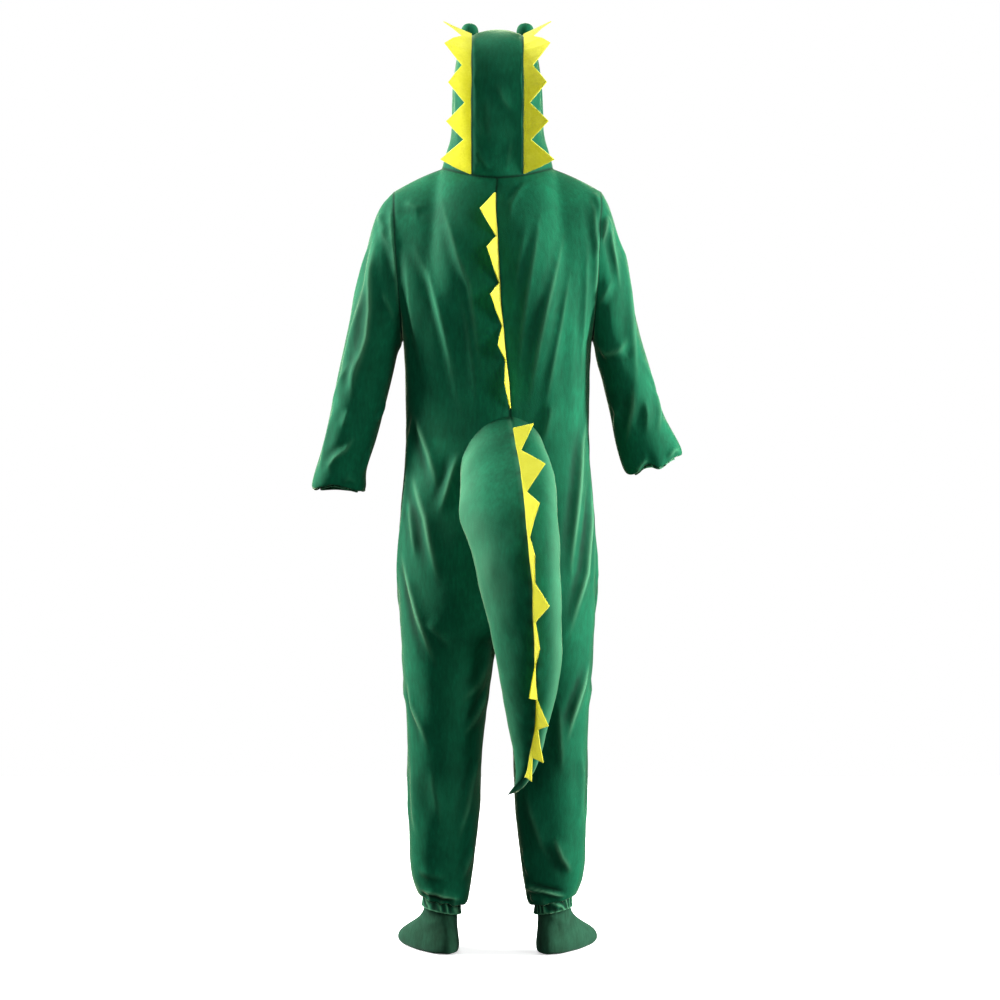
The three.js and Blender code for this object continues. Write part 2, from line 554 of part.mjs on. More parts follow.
const HOOD_SAMPLES = HOOD_BACK_ROWS + HOOD_TOP_COLUMNS;
const seamCurve = new THREE.CatmullRomCurve3(HOOD_SEAM.map(([y, h]) => point(HOOD_STRIP_HALF, y, h)));
seamCurve.arcLengthDivisions = 400;
const CROWN_AT = 0.613;         // share of the seam that lies behind the crown's row
const seamShare = range(HOOD_SAMPLES + 1).map((i) => (i <= HOOD_BACK_ROWS
  ? (i / HOOD_BACK_ROWS) * CROWN_AT
  : CROWN_AT + ((i - HOOD_BACK_ROWS) / HOOD_TOP_COLUMNS) * (1 - CROWN_AT)));
const seamPoints = seamShare.map((share) => seamCurve.getPointAt(share));
const seamOutward = seamShare.map((share) => {
  const tangent = seamCurve.getTangentAt(share);
  return point(0, tangent.z, -tangent.y);
});
seamPoints[0].copy(neckPoint(STRIP_ANGLE, 1));

const HOOD_MIDDLE = point(0, 0, 1670);

function hoodStripGrid() {
  const across = [-1, -0.5, 0, 0.5, 1];
  return seamPoints.map((seam, i) => across.map((t) => {
    const bulged = seam.clone().addScaledVector(seamOutward[i], STRIP_BULGE * (1 - t * t));
    return point(t * HOOD_STRIP_HALF, bulged.y, bulged.z);
  }));
}

function hoodSideGrid() {
  const behind = BACK_NECK_ANGLES.slice(2).map((angle) => neckPoint(angle, 1));
  const before = FRONT_NECK_ANGLES.slice(0, -1).reverse().map((angle) => neckPoint(angle, -1));
  const bottom = [...behind, ...before];
  const face = new THREE.CatmullRomCurve3(FACE_EDGE.map((p) => point(...p))).getSpacedPoints(HOOD_BACK_ROWS);
  const top = seamPoints.slice(HOOD_BACK_ROWS);
  const grid = patch(bottom, top, seamPoints.slice(0, HOOD_BACK_ROWS + 1), face);
  return grid.map((row, r) => row.map((p, c) => {
    const [u, v] = [c / HOOD_TOP_COLUMNS, r / HOOD_BACK_ROWS];
    const edge = THREE.MathUtils.lerp(HOOD_STRIP_HALF, face[r].x, u);
    const width = THREE.MathUtils.lerp(HOOD_HALF_WIDTH.low, HOOD_HALF_WIDTH.high, v);
    const rounded = (t) => Math.sqrt(1 - Math.abs(2 * t - 1) ** HOOD_ROUNDNESS);
    const x = edge + (width - edge) * rounded(u) * rounded(Math.max(v, 0.5));
    return p.setX(THREE.MathUtils.lerp(p.x, x, THREE.MathUtils.smoothstep(v, 0, 0.32)));
  }));
}

const hoodMeshes = [];

function addHood() {
  const strip = hoodStripGrid();
  [neckPoint(STRIP_ANGLE, 1), neckPoint(MID_STRIP_ANGLE, 1), neckPoint(Math.PI / 2, 1)].forEach((p, i) => {
    strip[0][i].copy(mirror(-1)(p));
    strip[0][4 - i].copy(p);
  });
  const sidePanel = hoodSideGrid();
  const centres = (grid) => grid.map(() => HOOD_MIDDLE);
  const stripNormals = gridNormals(strip, centres(strip));
  const sideNormals = gridNormals(sidePanel, centres(sidePanel));
  range(HOOD_SAMPLES + 1).forEach((i) => {
    const own = i <= HOOD_BACK_ROWS ? sideNormals[i][0] : sideNormals[HOOD_BACK_ROWS][i - HOOD_BACK_ROWS];
    shareNormal(own, stripNormals[i][4]);
    stripNormals[i][0].copy(mirror(-1)(own));
  });
  for (const normals of [stripNormals, sideNormals]) {
    normals[0].forEach((n) => {
      n.z = Math.min(n.z, 0);
      n.normalize();
    });
  }
  const onNeckSeam = (walls) => walls.forEach((wall) => wall[0].forEach((p) => { p.z += SEAM_GAP / 2; }));
  const stripWalls = [strip, offsetGrid(strip, stripNormals, -VELOUR)];
  stripWalls.flat().forEach((row) => {
    row[0].x += SEAM_GAP / 2;
    row[4].x -= SEAM_GAP / 2;
  });
  onNeckSeam(stripWalls);
  hoodMeshes.push(addWall('hood_back', 'velour', stripWalls[0], stripWalls[1]));
  const sideWalls = [sidePanel, offsetGrid(sidePanel, sideNormals, -VELOUR)];
  sideWalls.forEach((wall) => wall.forEach((row, r) => row.forEach((p, c) => {
    if (c === 0 || r === HOOD_BACK_ROWS) p.x += SEAM_GAP / 2;
    p.x = Math.max(p.x, SEAM_GAP / 2);
  })));
  onNeckSeam(sideWalls);
  for (const [side, sideName] of [[1, 'left'], [-1, 'right']]) {
    const [outer, inner] = sideWalls.map((wall) => mirrorGrid(wall, side));
    hoodMeshes.push(addWall(`hood_${sideName}`, 'velour', outer, inner));
  }
}

addHood();

// ---------------------------------------------------------------- felt spikes

// A felt strip on a line of roots: each station gives its root, the way the felt stands and its height.
function addSpikes(name, stations) {
  const half = FELT / 2;
  const edges = stations.map(({ root, away, height, slant = 0 }, i) => {
    const along = stations[Math.min(i + 1, stations.length - 1)].root.clone()
      .sub(stations[Math.max(i - 1, 0)].root).normalize();
    const flat = away.clone().cross(along).normalize();
    const tip = root.clone().addScaledVector(away, height).addScaledVector(along, -slant);
    return [root, tip].map((p) => [1, -1].map((sign) => p.clone().addScaledVector(flat, half * sign)));
  });
  const wall = (i) => edges.map((station) => station.map((pair) => pair[i]));
  addWall(name, 'felt', wall(0), wall(1));
}

// Teeth of the hood's two rows from the neck up: the felt's height below each tooth, and at its tip.
const HOOD_TEETH = rowsOf(['valley', 'tip'],
  [3, 65], [16, 53], [13, 49], [19, 57], [20, 60], [14, 14]);
const HOOD_SPIKES = { samples: 4, lean: radians(24), lift: 1.7 };

function hoodToothHeight(i) {
  const count = Math.floor(i / HOOD_SPIKES.samples);
  const part = (i % HOOD_SPIKES.samples) / HOOD_SPIKES.samples;
  const { valley, tip } = HOOD_TEETH[count];
  if (part <= 0.5) return THREE.MathUtils.lerp(valley, tip, part * 2);
  return THREE.MathUtils.lerp(tip, HOOD_TEETH[count + 1].valley, part * 2 - 1);
}

for (const [side, sideName] of [[1, 'left'], [-1, 'right']]) {
  const stations = range(HOOD_SPIKES.samples * (HOOD_TEETH.length - 1) + 1).map((i) => {
    const outward = seamOutward[i].clone();
    const corner = point(1, 0, 0).add(outward).normalize();
    const root = seamPoints[i].clone().addScaledVector(corner, HOOD_SPIKES.lift);
    const away = point(Math.cos(HOOD_SPIKES.lean), 0, 0)
      .addScaledVector(outward, Math.sin(HOOD_SPIKES.lean));
    return { root: mirror(side)(root), away: mirror(side)(away), height: hoodToothHeight(i) };
  });
  stations[0].root.z += 3;
  addSpikes(`hood_spikes_${sideName}`, stations);
}

// Where a line along Y from behind (face 1) or in front (-1) first meets the given pieces.
function surfaceY(x, height, face, names) {
  const meshes = pieces.filter((mesh) => names.includes(mesh.name));
  const caster = new THREE.Raycaster();
  const hits = [-1.5, 0, 1.5].flatMap((nudge) => {
    caster.set(point(x + nudge, face * 400, height), point(0, -face, 0));
    return caster.intersectObjects(meshes).map((hit) => hit.point.y);
  });
  return face * Math.max(...hits.map((y) => face * y));
}
const BACKS = ['back_left', 'back_right'];
const FRONTS = ['front_left', 'front_right'];

// Teeth on the centre back seam, from the top: height where each ends, reach, and lean to the left.
const BACK_TEETH = rowsOf(['from', 'tip', 'to', 'reach', 'lean'],
  [1496, 1461, 1409, 47, 38], [1409, 1385, 1318, 47, 26], [1318, 1294, 1237, 47, 24],
  [1237, 1197, 1172, 43, 17], [1172, 1124, 1077, 38, 13]);
const BACK_SPIKES = { valley: 4, lift: 1.15 };

function backStation(height, reach, lean) {
  const x = readTable(SEAM_DRIFT, 'height', height).x;
  const away = point(Math.sin(radians(lean)), Math.cos(radians(lean)), 0);
  const lift = BACK_SPIKES.lift + FELT * away.x;
  return { root: point(x, surfaceY(x, height, 1, BACKS) + lift, height), away, height: reach };
}

addSpikes('back_spikes', [
  backStation(BACK_TEETH[0].from, BACK_SPIKES.valley, BACK_TEETH[0].lean),
  ...BACK_TEETH.flatMap((tooth) => [
    backStation(tooth.tip, tooth.reach, tooth.lean),
    backStation(tooth.to, BACK_SPIKES.valley, tooth.lean),
  ])]);

// ---------------------------------------------------------------- ears

const EAR = { x: 54, y: -50, halfWidth: 14, halfDepth: 12, height: 47, sides: 14, lift: 1.2 };
const EAR_DOME = { full: 1.33, fullAt: 0.62, lean: 3 };
const EAR_LEVELS = [0.2, 0.42, 0.62, 0.8, 0.93];

function hoodTop(x, y) {
  const caster = new THREE.Raycaster();
  const hits = [-0.6, 0.6].flatMap((nudge) => {
    caster.set(point(x + nudge, y, 2100), point(0, 0, -1));
    return caster.intersectObjects(hoodMeshes).map((hit) => hit.point.z);
  });
  return Math.max(...hits);
}

function addEar(side, sideName) {
  const centre = point(side * EAR.x, EAR.y, hoodTop(side * EAR.x, EAR.y) + EAR.lift);
  const ringAt = (scale) => range(EAR.sides).map((i) => {
    const angle = (2 * Math.PI * i) / EAR.sides;
    const x = centre.x + EAR.halfWidth * scale * Math.cos(angle);
    const y = centre.y + EAR.halfDepth * scale * Math.sin(angle);
    return point(x, y, hoodTop(x, y) + EAR.lift);
  });
  const { full, fullAt, lean } = EAR_DOME;
  const spreadAt = (t) => (t < fullAt
    ? 1 + (full - 1) * Math.sin((Math.PI / 2) * (t / fullAt))
    : full * Math.sqrt(1 - ((t - fullAt) / (1 - fullAt)) ** 2));
  const domeAt = (t) => ringAt(1).map((p) => point(
    centre.x + side * lean * t + (p.x - centre.x) * spreadAt(t),
    centre.y + (p.y - centre.y) * spreadAt(t),
    THREE.MathUtils.lerp(p.z, centre.z + EAR.height, t),
  ));
  const dome = EAR_LEVELS.map(domeAt);
  const crown = centre.clone().add(point(side * lean, 0, EAR.height));
  addFull(`ear_${sideName}`, 'velour', [ringAt(0.5), ringAt(1), ...dome], centre, crown);
}

addEar(1, 'left');
addEar(-1, 'right');

// ---------------------------------------------------------------- tail

// One row at each end of a tooth: the ridge, the underside, and half the width.
const TAIL = rowsOf(['row', 'ridgeX', 'ridgeY', 'ridgeH', 'underX', 'underY', 'underH', 'half'],
  [0, -24, 116, 1062, 3, 140, 866, 84],
  [1, -38, 184, 990, -2, 146, 854, 92],
  [2, -49, 250, 912, 9, 151, 840, 92],
  [3, -57, 284, 828, -9, 155, 800, 84],
  [4, -65, 296, 745, -19, 158, 735, 76],
  [5, -67, 288, 671, -39, 158, 666, 70],
  [6, -71, 270, 592, -49, 156, 590, 61],
  [7, -72, 248, 524, -50, 154, 523, 50],
  [8, -70, 226, 466, -46, 155, 465, 35],
  [9, -61, 207, 411, -53, 158, 409, 25],
  [10, -52, 196, 371, -44, 172, 353, 12],
  [11, -31, 188, 353, -27, 178, 335, 6]);
const TAIL_TIP = point(-19, 183, 337);
const TAIL_ARC = 8;
const TAIL_SEAT_LIFT = 1.3;

function tailRing(at) {
  const row = readTable(TAIL, 'row', at);
  const ridgeEnd = point(row.ridgeX, row.ridgeY, row.ridgeH);
  const under = point(row.underX, row.underY, row.underH);
  const centre = mix(ridgeEnd, under, 0.5);
  const up = ridgeEnd.clone().sub(centre);
  const arc = (side) => range(TAIL_ARC + 1).map((i) => {
    const angle = (Math.PI * i) / TAIL_ARC;
    const out = point(side * row.half * Math.sin(angle), 0, 0);
    return centre.clone().addScaledVector(up, Math.cos(angle)).add(out);
  });
  return { arc, ridgeEnd, under, up: up.clone().normalize() };
}

// One half's ring: over its side from the ridge to the underside, then back along the middle.
function tailHalfRing(at, side) {
  const { arc, ridgeEnd, under } = tailRing(at);
  const middle = [2 / 3, 1 / 3].map((t) => mix(ridgeEnd, under, t));
  return [...arc(side), ...middle].map((p) => point(p.x + (side * SEAM_GAP) / 2, p.y, p.z));
}

const seatOnBack = (p) => point(p.x, surfaceY(p.x, p.z, 1, BACKS) + TAIL_SEAT_LIFT, p.z);

function addTailHalf(side, sideName) {
  const base = tailHalfRing(0, side);
  const centre = base.reduce((sum, p) => sum.add(p), point(0, 0, 0)).divideScalar(base.length);
  const seat = [0.5, 1].map((scale) => base.map((p) => seatOnBack(mix(centre, p, scale))));
  const rings = range(21).map((i) => tailHalfRing(0.5 * (i + 1), side));
  const tip = TAIL_TIP.clone().add(point((side * SEAM_GAP) / 2, 0, 0));
  addFull(`tail_${sideName}`, 'velour', [...seat, ...rings], seatOnBack(centre), tip);
}

addTailHalf(1, 'left');
addTailHalf(-1, 'right');

// Teeth of the ridge from the top, one to a row of the tail: where the tip's root lies, the tip's reach,
// its lean to the right in degrees, and how far it is drawn up.
const TAIL_TEETH = rowsOf(['at', 'reach', 'lean', 'slant'],
  [0.62, 46, 47, -1], [1.5, 52, 53, -6], [2.42, 54, 4, -3], [3.5, 46, -9, 6], [4.42, 48, 25, -12],
  [5.42, 44, 0, -16], [6.55, 40, -28, -26], [7.45, 40, 26, -24], [8.6, 36, 39, -31], [9.6, 26, 22, -28]);
const TAIL_SPIKES = { from: 0.36, valley: 8, lift: 1.2 };

function tailStation(at, reach, lean, slant = 0) {
  const { ridgeEnd, up } = tailRing(at);
  const aside = point(-Math.sin(radians(lean)), 0, 0);
  const away = up.clone().multiplyScalar(Math.cos(radians(lean))).add(aside).normalize();
  return { root: ridgeEnd.clone().addScaledVector(up, TAIL_SPIKES.lift), away, height: reach, slant };
}

addSpikes('tail_spikes', TAIL_TEETH.flatMap((tooth, i) => {
  const before = TAIL_TEETH[Math.max(i - 1, 0)].lean;
  return [
    tailStation(Math.max(i, TAIL_SPIKES.from), i ? TAIL_SPIKES.valley : 2, (before + tooth.lean) / 2),
    tailStation(tooth.at, tooth.reach, tooth.lean, tooth.slant),
  ];
}).concat(tailStation(TAIL_TEETH.length, 3, TAIL_TEETH.at(-1).lean)));

// ---------------------------------------------------------------- front placket and buttons

const PLACKET = { halfWidth: 17, top: 1488, bottom: 890, rows: 18, lift: 0.9, wall: 2 };
const BUTTONS = { count: 5, top: 1465, pitch: 130, radius: 9.5, sides: 12, lift: 0.5 };

function addPlacket() {
  const outer = range(PLACKET.rows + 1).map((r) => {
    const height = THREE.MathUtils.lerp(PLACKET.top, PLACKET.bottom, r / PLACKET.rows);
    return [-1, -0.35, 0.35, 1].map((t) => {
      const x = t * PLACKET.halfWidth;
      return point(x, surfaceY(x, height, -1, FRONTS) - PLACKET.lift, height);
    });
  });
  const inner = outer.map((row) => row.map((p) => point(p.x, p.y - PLACKET.wall, p.z)));
  addWall('placket', 'velour', inner, outer);
}

// A dished button with a low rim, turned to lie on the placket.
function addButtons() {
  const { radius } = BUTTONS;
  const profile = [[0, 0], [radius, 0], [radius, 2.6], [radius - 2.2, 3.4], [radius - 3.2, 2.2], [0, 2.2]];
  for (const i of range(BUTTONS.count)) {
    const height = BUTTONS.top - BUTTONS.pitch * i;
    const front = (h) => surfaceY(0, h, -1, ['placket']);
    const slope = Math.atan2(front(height + radius) - front(height - radius), 2 * radius);
    const geometry = new THREE.LatheGeometry(profile.map(([r, z]) => new THREE.Vector2(r, z)), BUTTONS.sides);
    const mesh = new THREE.Mesh(geometry, new THREE.MeshStandardMaterial({ ...FINISH.button, metalness: 0 }));
    mesh.name = `button_${i + 1}`;
    const seat = Math.min(front(height), (front(height + radius) + front(height - radius)) / 2);
    mesh.position.set(0, seat - BUTTONS.lift, height);
    mesh.rotation.x = Math.PI - slope;
    pieces.push(mesh);
  }
}

addPlacket();
addButtons();

// ---------------------------------------------------------------- the whole suit

const suit = new THREE.Group();
suit.add(...pieces);
suit.position.z = -SHOULDER_HEIGHT;
const costume = new THREE.Group();
costume.name = 'dragon_costume';
costume.add(suit);

export default costume;
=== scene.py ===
# %% [markdown]
# # A hooded dragon costume
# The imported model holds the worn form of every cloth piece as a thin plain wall. Here each wall gets the
# finer folds, seams, nap and stitching of real velour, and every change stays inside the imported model's
# own box, so that both describe one garment.

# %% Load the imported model
import math

import bmesh
import bpy
import numpy as np
from mathutils import Matrix, Vector, noise
from mathutils.bvhtree import BVHTree
from mathutils.kdtree import KDTree


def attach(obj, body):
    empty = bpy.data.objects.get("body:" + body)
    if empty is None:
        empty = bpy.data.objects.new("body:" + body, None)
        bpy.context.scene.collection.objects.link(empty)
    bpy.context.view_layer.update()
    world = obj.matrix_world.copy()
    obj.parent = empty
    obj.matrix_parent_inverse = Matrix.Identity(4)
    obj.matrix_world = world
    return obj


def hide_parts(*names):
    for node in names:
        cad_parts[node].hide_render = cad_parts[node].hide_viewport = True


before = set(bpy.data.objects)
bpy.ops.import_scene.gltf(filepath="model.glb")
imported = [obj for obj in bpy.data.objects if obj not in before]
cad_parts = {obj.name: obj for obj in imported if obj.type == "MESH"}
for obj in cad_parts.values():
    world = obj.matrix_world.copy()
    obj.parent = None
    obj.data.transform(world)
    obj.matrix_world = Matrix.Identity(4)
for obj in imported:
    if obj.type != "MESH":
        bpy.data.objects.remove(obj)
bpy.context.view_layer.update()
scene = bpy.context.scene
print("packed nodes:", len(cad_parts))

# %% [markdown]
# The camera stands level, well back on a long lens, so the suit keeps its true proportions. A pale floor
# runs into a white backdrop, and the velour is shown by light that comes mostly from above and the sides,
# because a pile cloth only turns pale where it is lit and seen along the surface.

# %% Camera
camera_data = bpy.data.cameras.new("camera")
camera_data.lens = 90.9
camera_data.sensor_width = 36
camera = bpy.data.objects.new("camera", camera_data)
camera.location = (-0.005, 5.0, -0.6)
camera.rotation_euler = (math.radians(90), 0, math.radians(180))
scene.collection.objects.link(camera)
scene.camera = camera
scene.view_settings.view_transform = "Standard"


# %% A helper that adds a shader node with its settings and links
def linear(hex_colour):
    """A colour written as an sRGB hex value, in the linear values that shaders use."""
    parts = [int(hex_colour[i:i + 2], 16) / 255 for i in (1, 3, 5)]
    return [p / 12.92 if p <= 0.04045 else ((p + 0.055) / 1.055) ** 2.4 for p in parts] + [1]


def add_node(tree, kind, settings=(), links=()):
    """Adds a node. Keys of settings are properties or socket names or numbers; links go to sockets."""
    node = tree.nodes.new(kind)
    for key, value in dict(settings).items():
        if isinstance(key, str) and key not in node.inputs:
            setattr(node, key, value)
        else:
            node.inputs[key].default_value = value
    for key, output in dict(links).items():
        tree.links.new(output, node.inputs[key])
    return node


# %% Backdrop and floor
world = bpy.data.worlds.new("studio")
scene.world = world
world.use_nodes = True
tree = world.node_tree
tree.nodes.clear()
rays = add_node(tree, "ShaderNodeLightPath")
backdrop = add_node(tree, "ShaderNodeBackground", {"Color": (1, 1, 1, 1), "Strength": 1.0})
ambient = add_node(tree, "ShaderNodeBackground", {"Color": (0.95, 0.98, 1, 1), "Strength": 0.07})
either = add_node(tree, "ShaderNodeMixShader", (), {
    0: rays.outputs["Is Camera Ray"], 1: ambient.outputs[0], 2: backdrop.outputs[0]})
add_node(tree, "ShaderNodeOutputWorld", (), {"Surface": either.outputs[0]})

floor_mesh = bmesh.new()
bmesh.ops.create_grid(floor_mesh, x_segments=1, y_segments=1, size=3.2)
bmesh.ops.translate(floor_mesh, verts=floor_mesh.verts, vec=(0, 0, -1.5))
floor = bpy.data.objects.new("floor", bpy.data.meshes.new("floor"))
floor_mesh.to_mesh(floor.data)
floor_mesh.free()
scene.collection.objects.link(floor)
floor.visible_diffuse = False  # its bounce would wash out the shade on the legs
floor.visible_glossy = False

paper = bpy.data.materials.new("white_studio_paper")  # seamless paper: matt, so no glare under the feet
paper.use_nodes = True
shader = paper.node_tree.nodes["Principled BSDF"]
shader.inputs["Roughness"].default_value = 0.9
shader.inputs["Emission Color"].default_value = (1, 1, 1, 1)
shader.inputs["Emission Strength"].default_value = 0.55
grain = add_node(paper.node_tree, "ShaderNodeTexNoise", {"Scale": 3.0, "Detail": 2.0})
tones = add_node(paper.node_tree, "ShaderNodeValToRGB", (), {"Fac": grain.outputs[0]})
tones.color_ramp.elements[0].color = linear("#f7f7f7")
tones.color_ramp.elements[1].color = linear("#fdfdfd")
paper.node_tree.links.new(tones.outputs[0], shader.inputs["Base Color"])
floor.data.materials.append(paper)

# %% Lights: name, place, aim, width, height, watts
LIGHTS = [
    ("key", (-2.5, 2.6, 0.5), (0, 0, -0.8), 1.1, 1.4, 50),
    ("fill", (0.9, 4.3, 0.1), (0, 0, -0.8), 1.2, 1.6, 46),
    ("side_left", (2.5, -0.4, 0.6), (0, 0, -0.3), 0.35, 2.0, 270),
    ("side_right", (-2.5, 0.15, -0.3), (0, 0, -0.9), 0.35, 2.2, 205),
    ("top", (0, 0.0, 2.3), (0, 0, 0), 1.2, 0.6, 50),
    ("front", (0.6, -3.6, 0.8), (0, 0, -0.5), 1.6, 1.6, 60),
]
for name, place, aim, width, height, watts in LIGHTS:
    lamp = bpy.data.lights.new(name, "AREA")
    lamp.shape = "RECTANGLE"
    lamp.size = width
    lamp.size_y = height
    lamp.energy = watts
    stand = bpy.data.objects.new(name, lamp)
    stand.location = place
    stand.rotation_euler = (Vector(aim) - Vector(place)).to_track_quat("-Z", "Y").to_euler()
    scene.collection.objects.link(stand)
print("lights:", len(LIGHTS))


# %% [markdown]
# Velour is a knitted pile cloth: thousands of short cut fibres stand up from its face. Seen straight on it
# looks deep green, because light falls between the fibres. Along an edge or the crest of a fold their
# sides catch the light, and it turns pale. That is what a shader's sheen does, so it has a strong, pale
# green sheen over a rough base.

# %% Velour
def new_material(name, roughness, sheen=0.0, sheen_roughness=0.3, tint="#ffffff", specular=0.5):
    """A material with its even values set on the shader's own sockets."""
    material = bpy.data.materials.new(name)
    material.use_nodes = True
    base = material.node_tree.nodes["Principled BSDF"]
    base.inputs["Roughness"].default_value = roughness
    base.inputs["Sheen Weight"].default_value = sheen
    base.inputs["Sheen Roughness"].default_value = sheen_roughness
    base.inputs["Sheen Tint"].default_value = linear(tint)
    base.inputs["Specular IOR Level"].default_value = specular
    return material, material.node_tree, base


def per_metre(millimetres):
    """The noise scale at which one grain is so many millimetres wide."""
    return 1000 / millimetres


def cloth_colours(tree, base, stops, patch, streak, stretch):
    """Colour that wanders over patches and streaks of so many millimetres; streaks run up and down."""
    coords = add_node(tree, "ShaderNodeTexCoord")
    wide = add_node(tree, "ShaderNodeTexNoise", {"Scale": per_metre(patch), "Detail": 3.0, "Roughness": 0.55},
                    {"Vector": coords.outputs["Object"]})
    long = add_node(tree, "ShaderNodeMapping", {"Scale": (1, 1, stretch)}, {"Vector": coords.outputs["Object"]})
    thin = add_node(tree, "ShaderNodeTexNoise", {"Scale": per_metre(streak), "Detail": 4.0, "Roughness": 0.6},
                    {"Vector": long.outputs[0]})
    both = add_node(tree, "ShaderNodeMix", {"Factor": 0.45}, {"A": wide.outputs[0], "B": thin.outputs[0]})
    ramp = add_node(tree, "ShaderNodeValToRGB", (), {"Fac": both.outputs[0]})
    places = np.linspace(0.34, 0.66, len(stops))
    while len(ramp.color_ramp.elements) < len(stops):
        ramp.color_ramp.elements.new(0.5)
    for element, place, stop in zip(ramp.color_ramp.elements, places, stops):
        element.position = place
        element.color = linear(stop)
    tree.links.new(ramp.outputs[0], base.inputs["Base Color"])
    return coords


def nap_bump(tree, base, coords, grain_mm, height_mm, strength):
    """The small relief of pile or fibres."""
    fibres = add_node(tree, "ShaderNodeTexNoise", {"Scale": per_metre(grain_mm), "Detail": 3.0, "Roughness": 0.7},
                      {"Vector": coords.outputs["Object"]})
    relief = add_node(tree, "ShaderNodeBump", {"Strength": strength, "Distance": height_mm / 1000},
                      {"Height": fibres.outputs[0]})
    tree.links.new(relief.outputs[0], base.inputs["Normal"])
    return fibres


# Pile fibres are about 0.03 mm thick and stand in tufts of about 1 mm; tufts are drawn 3 mm wide to show.
VELOUR, tree, base = new_material("knitted_velour_green", 0.8, 0.8, 0.25, "#e0fac8", 0.12)
coords = cloth_colours(tree, base, ["#014a30", "#025236", "#045a3c", "#066544"], 90, 6, 0.25)
# Painted highlight and painted shade: the colour turns paler along fold crests, pleat tops, hems and the sides of the
# tail, and darker in fold troughs, between pleats, in seam grooves and beside the tail's seam.
plain = base.inputs["Base Color"].links[0].from_socket
crest = add_node(tree, "ShaderNodeAttribute", {"attribute_name": "crest"})
hollow = add_node(tree, "ShaderNodeAttribute", {"attribute_name": "hollow"})
with_painted_highlight = add_node(tree, "ShaderNodeMix", {"data_type": "RGBA", "B": linear("#54926c")},
                  {"Factor": crest.outputs["Fac"], "A": plain})
with_painted_shade = add_node(tree, "ShaderNodeMix", {"data_type": "RGBA", "B": linear("#01160d")},
                  {"Factor": hollow.outputs["Fac"], "A": with_painted_highlight.outputs["Result"]})
tree.links.new(with_painted_shade.outputs["Result"], base.inputs["Base Color"])
nap_bump(tree, base, coords, 2.6, 1.0, 0.4)

# %% [markdown]
# The spikes are pressed felt, a mat of dyed fibres with no weave and no direction. It is thick enough to
# stand up by itself and quite matt, with a faint mottle where the fibres lie thicker.

# %% Felt, jersey, thread and plastic
FELT, tree, base = new_material("pressed_felt_yellow", 0.95, 0.15, 0.5, "#fffbc0", 0.1)
base.inputs["Subsurface Weight"].default_value = 0.6  # light passes through two millimetres of felt
base.inputs["Subsurface Radius"].default_value = (1.0, 0.95, 0.3)
base.inputs["Subsurface Scale"].default_value = 0.012
coords = cloth_colours(tree, base, ["#b3b03a", "#bbb840", "#c2bf46", "#c9c64e"], 30, 4, 1.0)
# Painted shade: the felt colour is mixed towards a dark olive by each strip's own share, most on the tail's strip.
plain = base.inputs["Base Color"].links[0].from_socket
shade_share = add_node(tree, "ShaderNodeAttribute", {"attribute_name": "hollow"})
shaded_felt = add_node(tree, "ShaderNodeMix", {"data_type": "RGBA", "B": linear("#7f7f06")},
                {"Factor": shade_share.outputs["Fac"], "A": plain})
tree.links.new(shaded_felt.outputs["Result"], base.inputs["Base Color"])
nap_bump(tree, base, coords, 2.2, 0.6, 0.4)

# Brushed jersey: a fine knit whose loops are about 1 mm wide, drawn at 2.4 mm so that they show.
JERSEY, tree, base = new_material("brushed_jersey_green", 0.95, 0.2, 0.5, "#8fb5a0", 0.1)
coords = cloth_colours(tree, base, ["#163625", "#1a3f2c", "#1e4733", "#234f39"], 45, 6, 0.3)
nap_bump(tree, base, coords, 2.4, 0.7, 0.5)

# Polyester sewing thread, twisted and slightly shiny.
THREAD, tree, base = new_material("polyester_thread_green", 0.6, specular=0.2)
coords = cloth_colours(tree, base, ["#072f1d", "#0d422b"], 10, 2, 1.0)
nap_bump(tree, base, coords, 1.0, 0.1, 0.3)

# Moulded polyester resin, tumbled to a soft gloss.
RESIN, tree, base = new_material("moulded_resin_green", 0.32)
coords = cloth_colours(tree, base, ["#0c3322", "#124530", "#185540"], 6, 3, 1.0)
nap_bump(tree, base, coords, 4.0, 0.05, 0.15)
print("materials:", len(bpy.data.materials))


# %% [markdown]
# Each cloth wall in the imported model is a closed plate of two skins, two millimetres apart. Only the outer
# skin is taken here, because folds are easier to raise on one surface. It is found by deleting the narrow
# rim between the skins and keeping the larger of the two sheets that are left. A cloth's own thickness
# is put back at the end with Solidify.

# %% Take the outer skin of a wall
RIM_MIN, RIM_MAX = 0.0013, 0.0024  # the length of an edge that runs through a wall, in metres


def merged_copy(node):
    """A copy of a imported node's mesh with its loose triangles joined up."""
    bm = bmesh.new()
    bm.from_mesh(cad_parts[node].data)
    bmesh.ops.remove_doubles(bm, verts=bm.verts, dist=1e-5)
    return bm


def islands(bm):
    """The separate sheets of a mesh, each as a set of faces."""
    left = set(bm.faces)
    found = []
    while left:
        sheet = set()
        front = [left.pop()]
        while front:
            face = front.pop()
            sheet.add(face)
            near = {f for e in face.edges for f in e.link_faces} & left
            left -= near
            front.extend(near)
        found.append(sheet)
    return found


def outer_skin(node):
    """The outer face of a cloth wall, in quads."""
    bm = merged_copy(node)
    rim = [f for f in bm.faces if any(RIM_MIN < e.calc_length() < RIM_MAX for e in f.edges)]
    bmesh.ops.delete(bm, geom=rim, context="FACES")
    sheets = sorted(islands(bm), key=lambda sheet: -sum(f.calc_area() for f in sheet))
    inner = [f for sheet in sheets[1:] for f in sheet]
    bmesh.ops.delete(bm, geom=inner, context="FACES")
    bmesh.ops.join_triangles(bm, faces=bm.faces, angle_face_threshold=math.pi,
                             angle_shape_threshold=math.pi, topology_influence=1.5)
    print(f"{node}: {len(sheets)} sheets, kept {len(bm.faces)} faces, "
          f"{sum(len(f.verts) == 4 for f in bm.faces)} of them quads")
    return bm


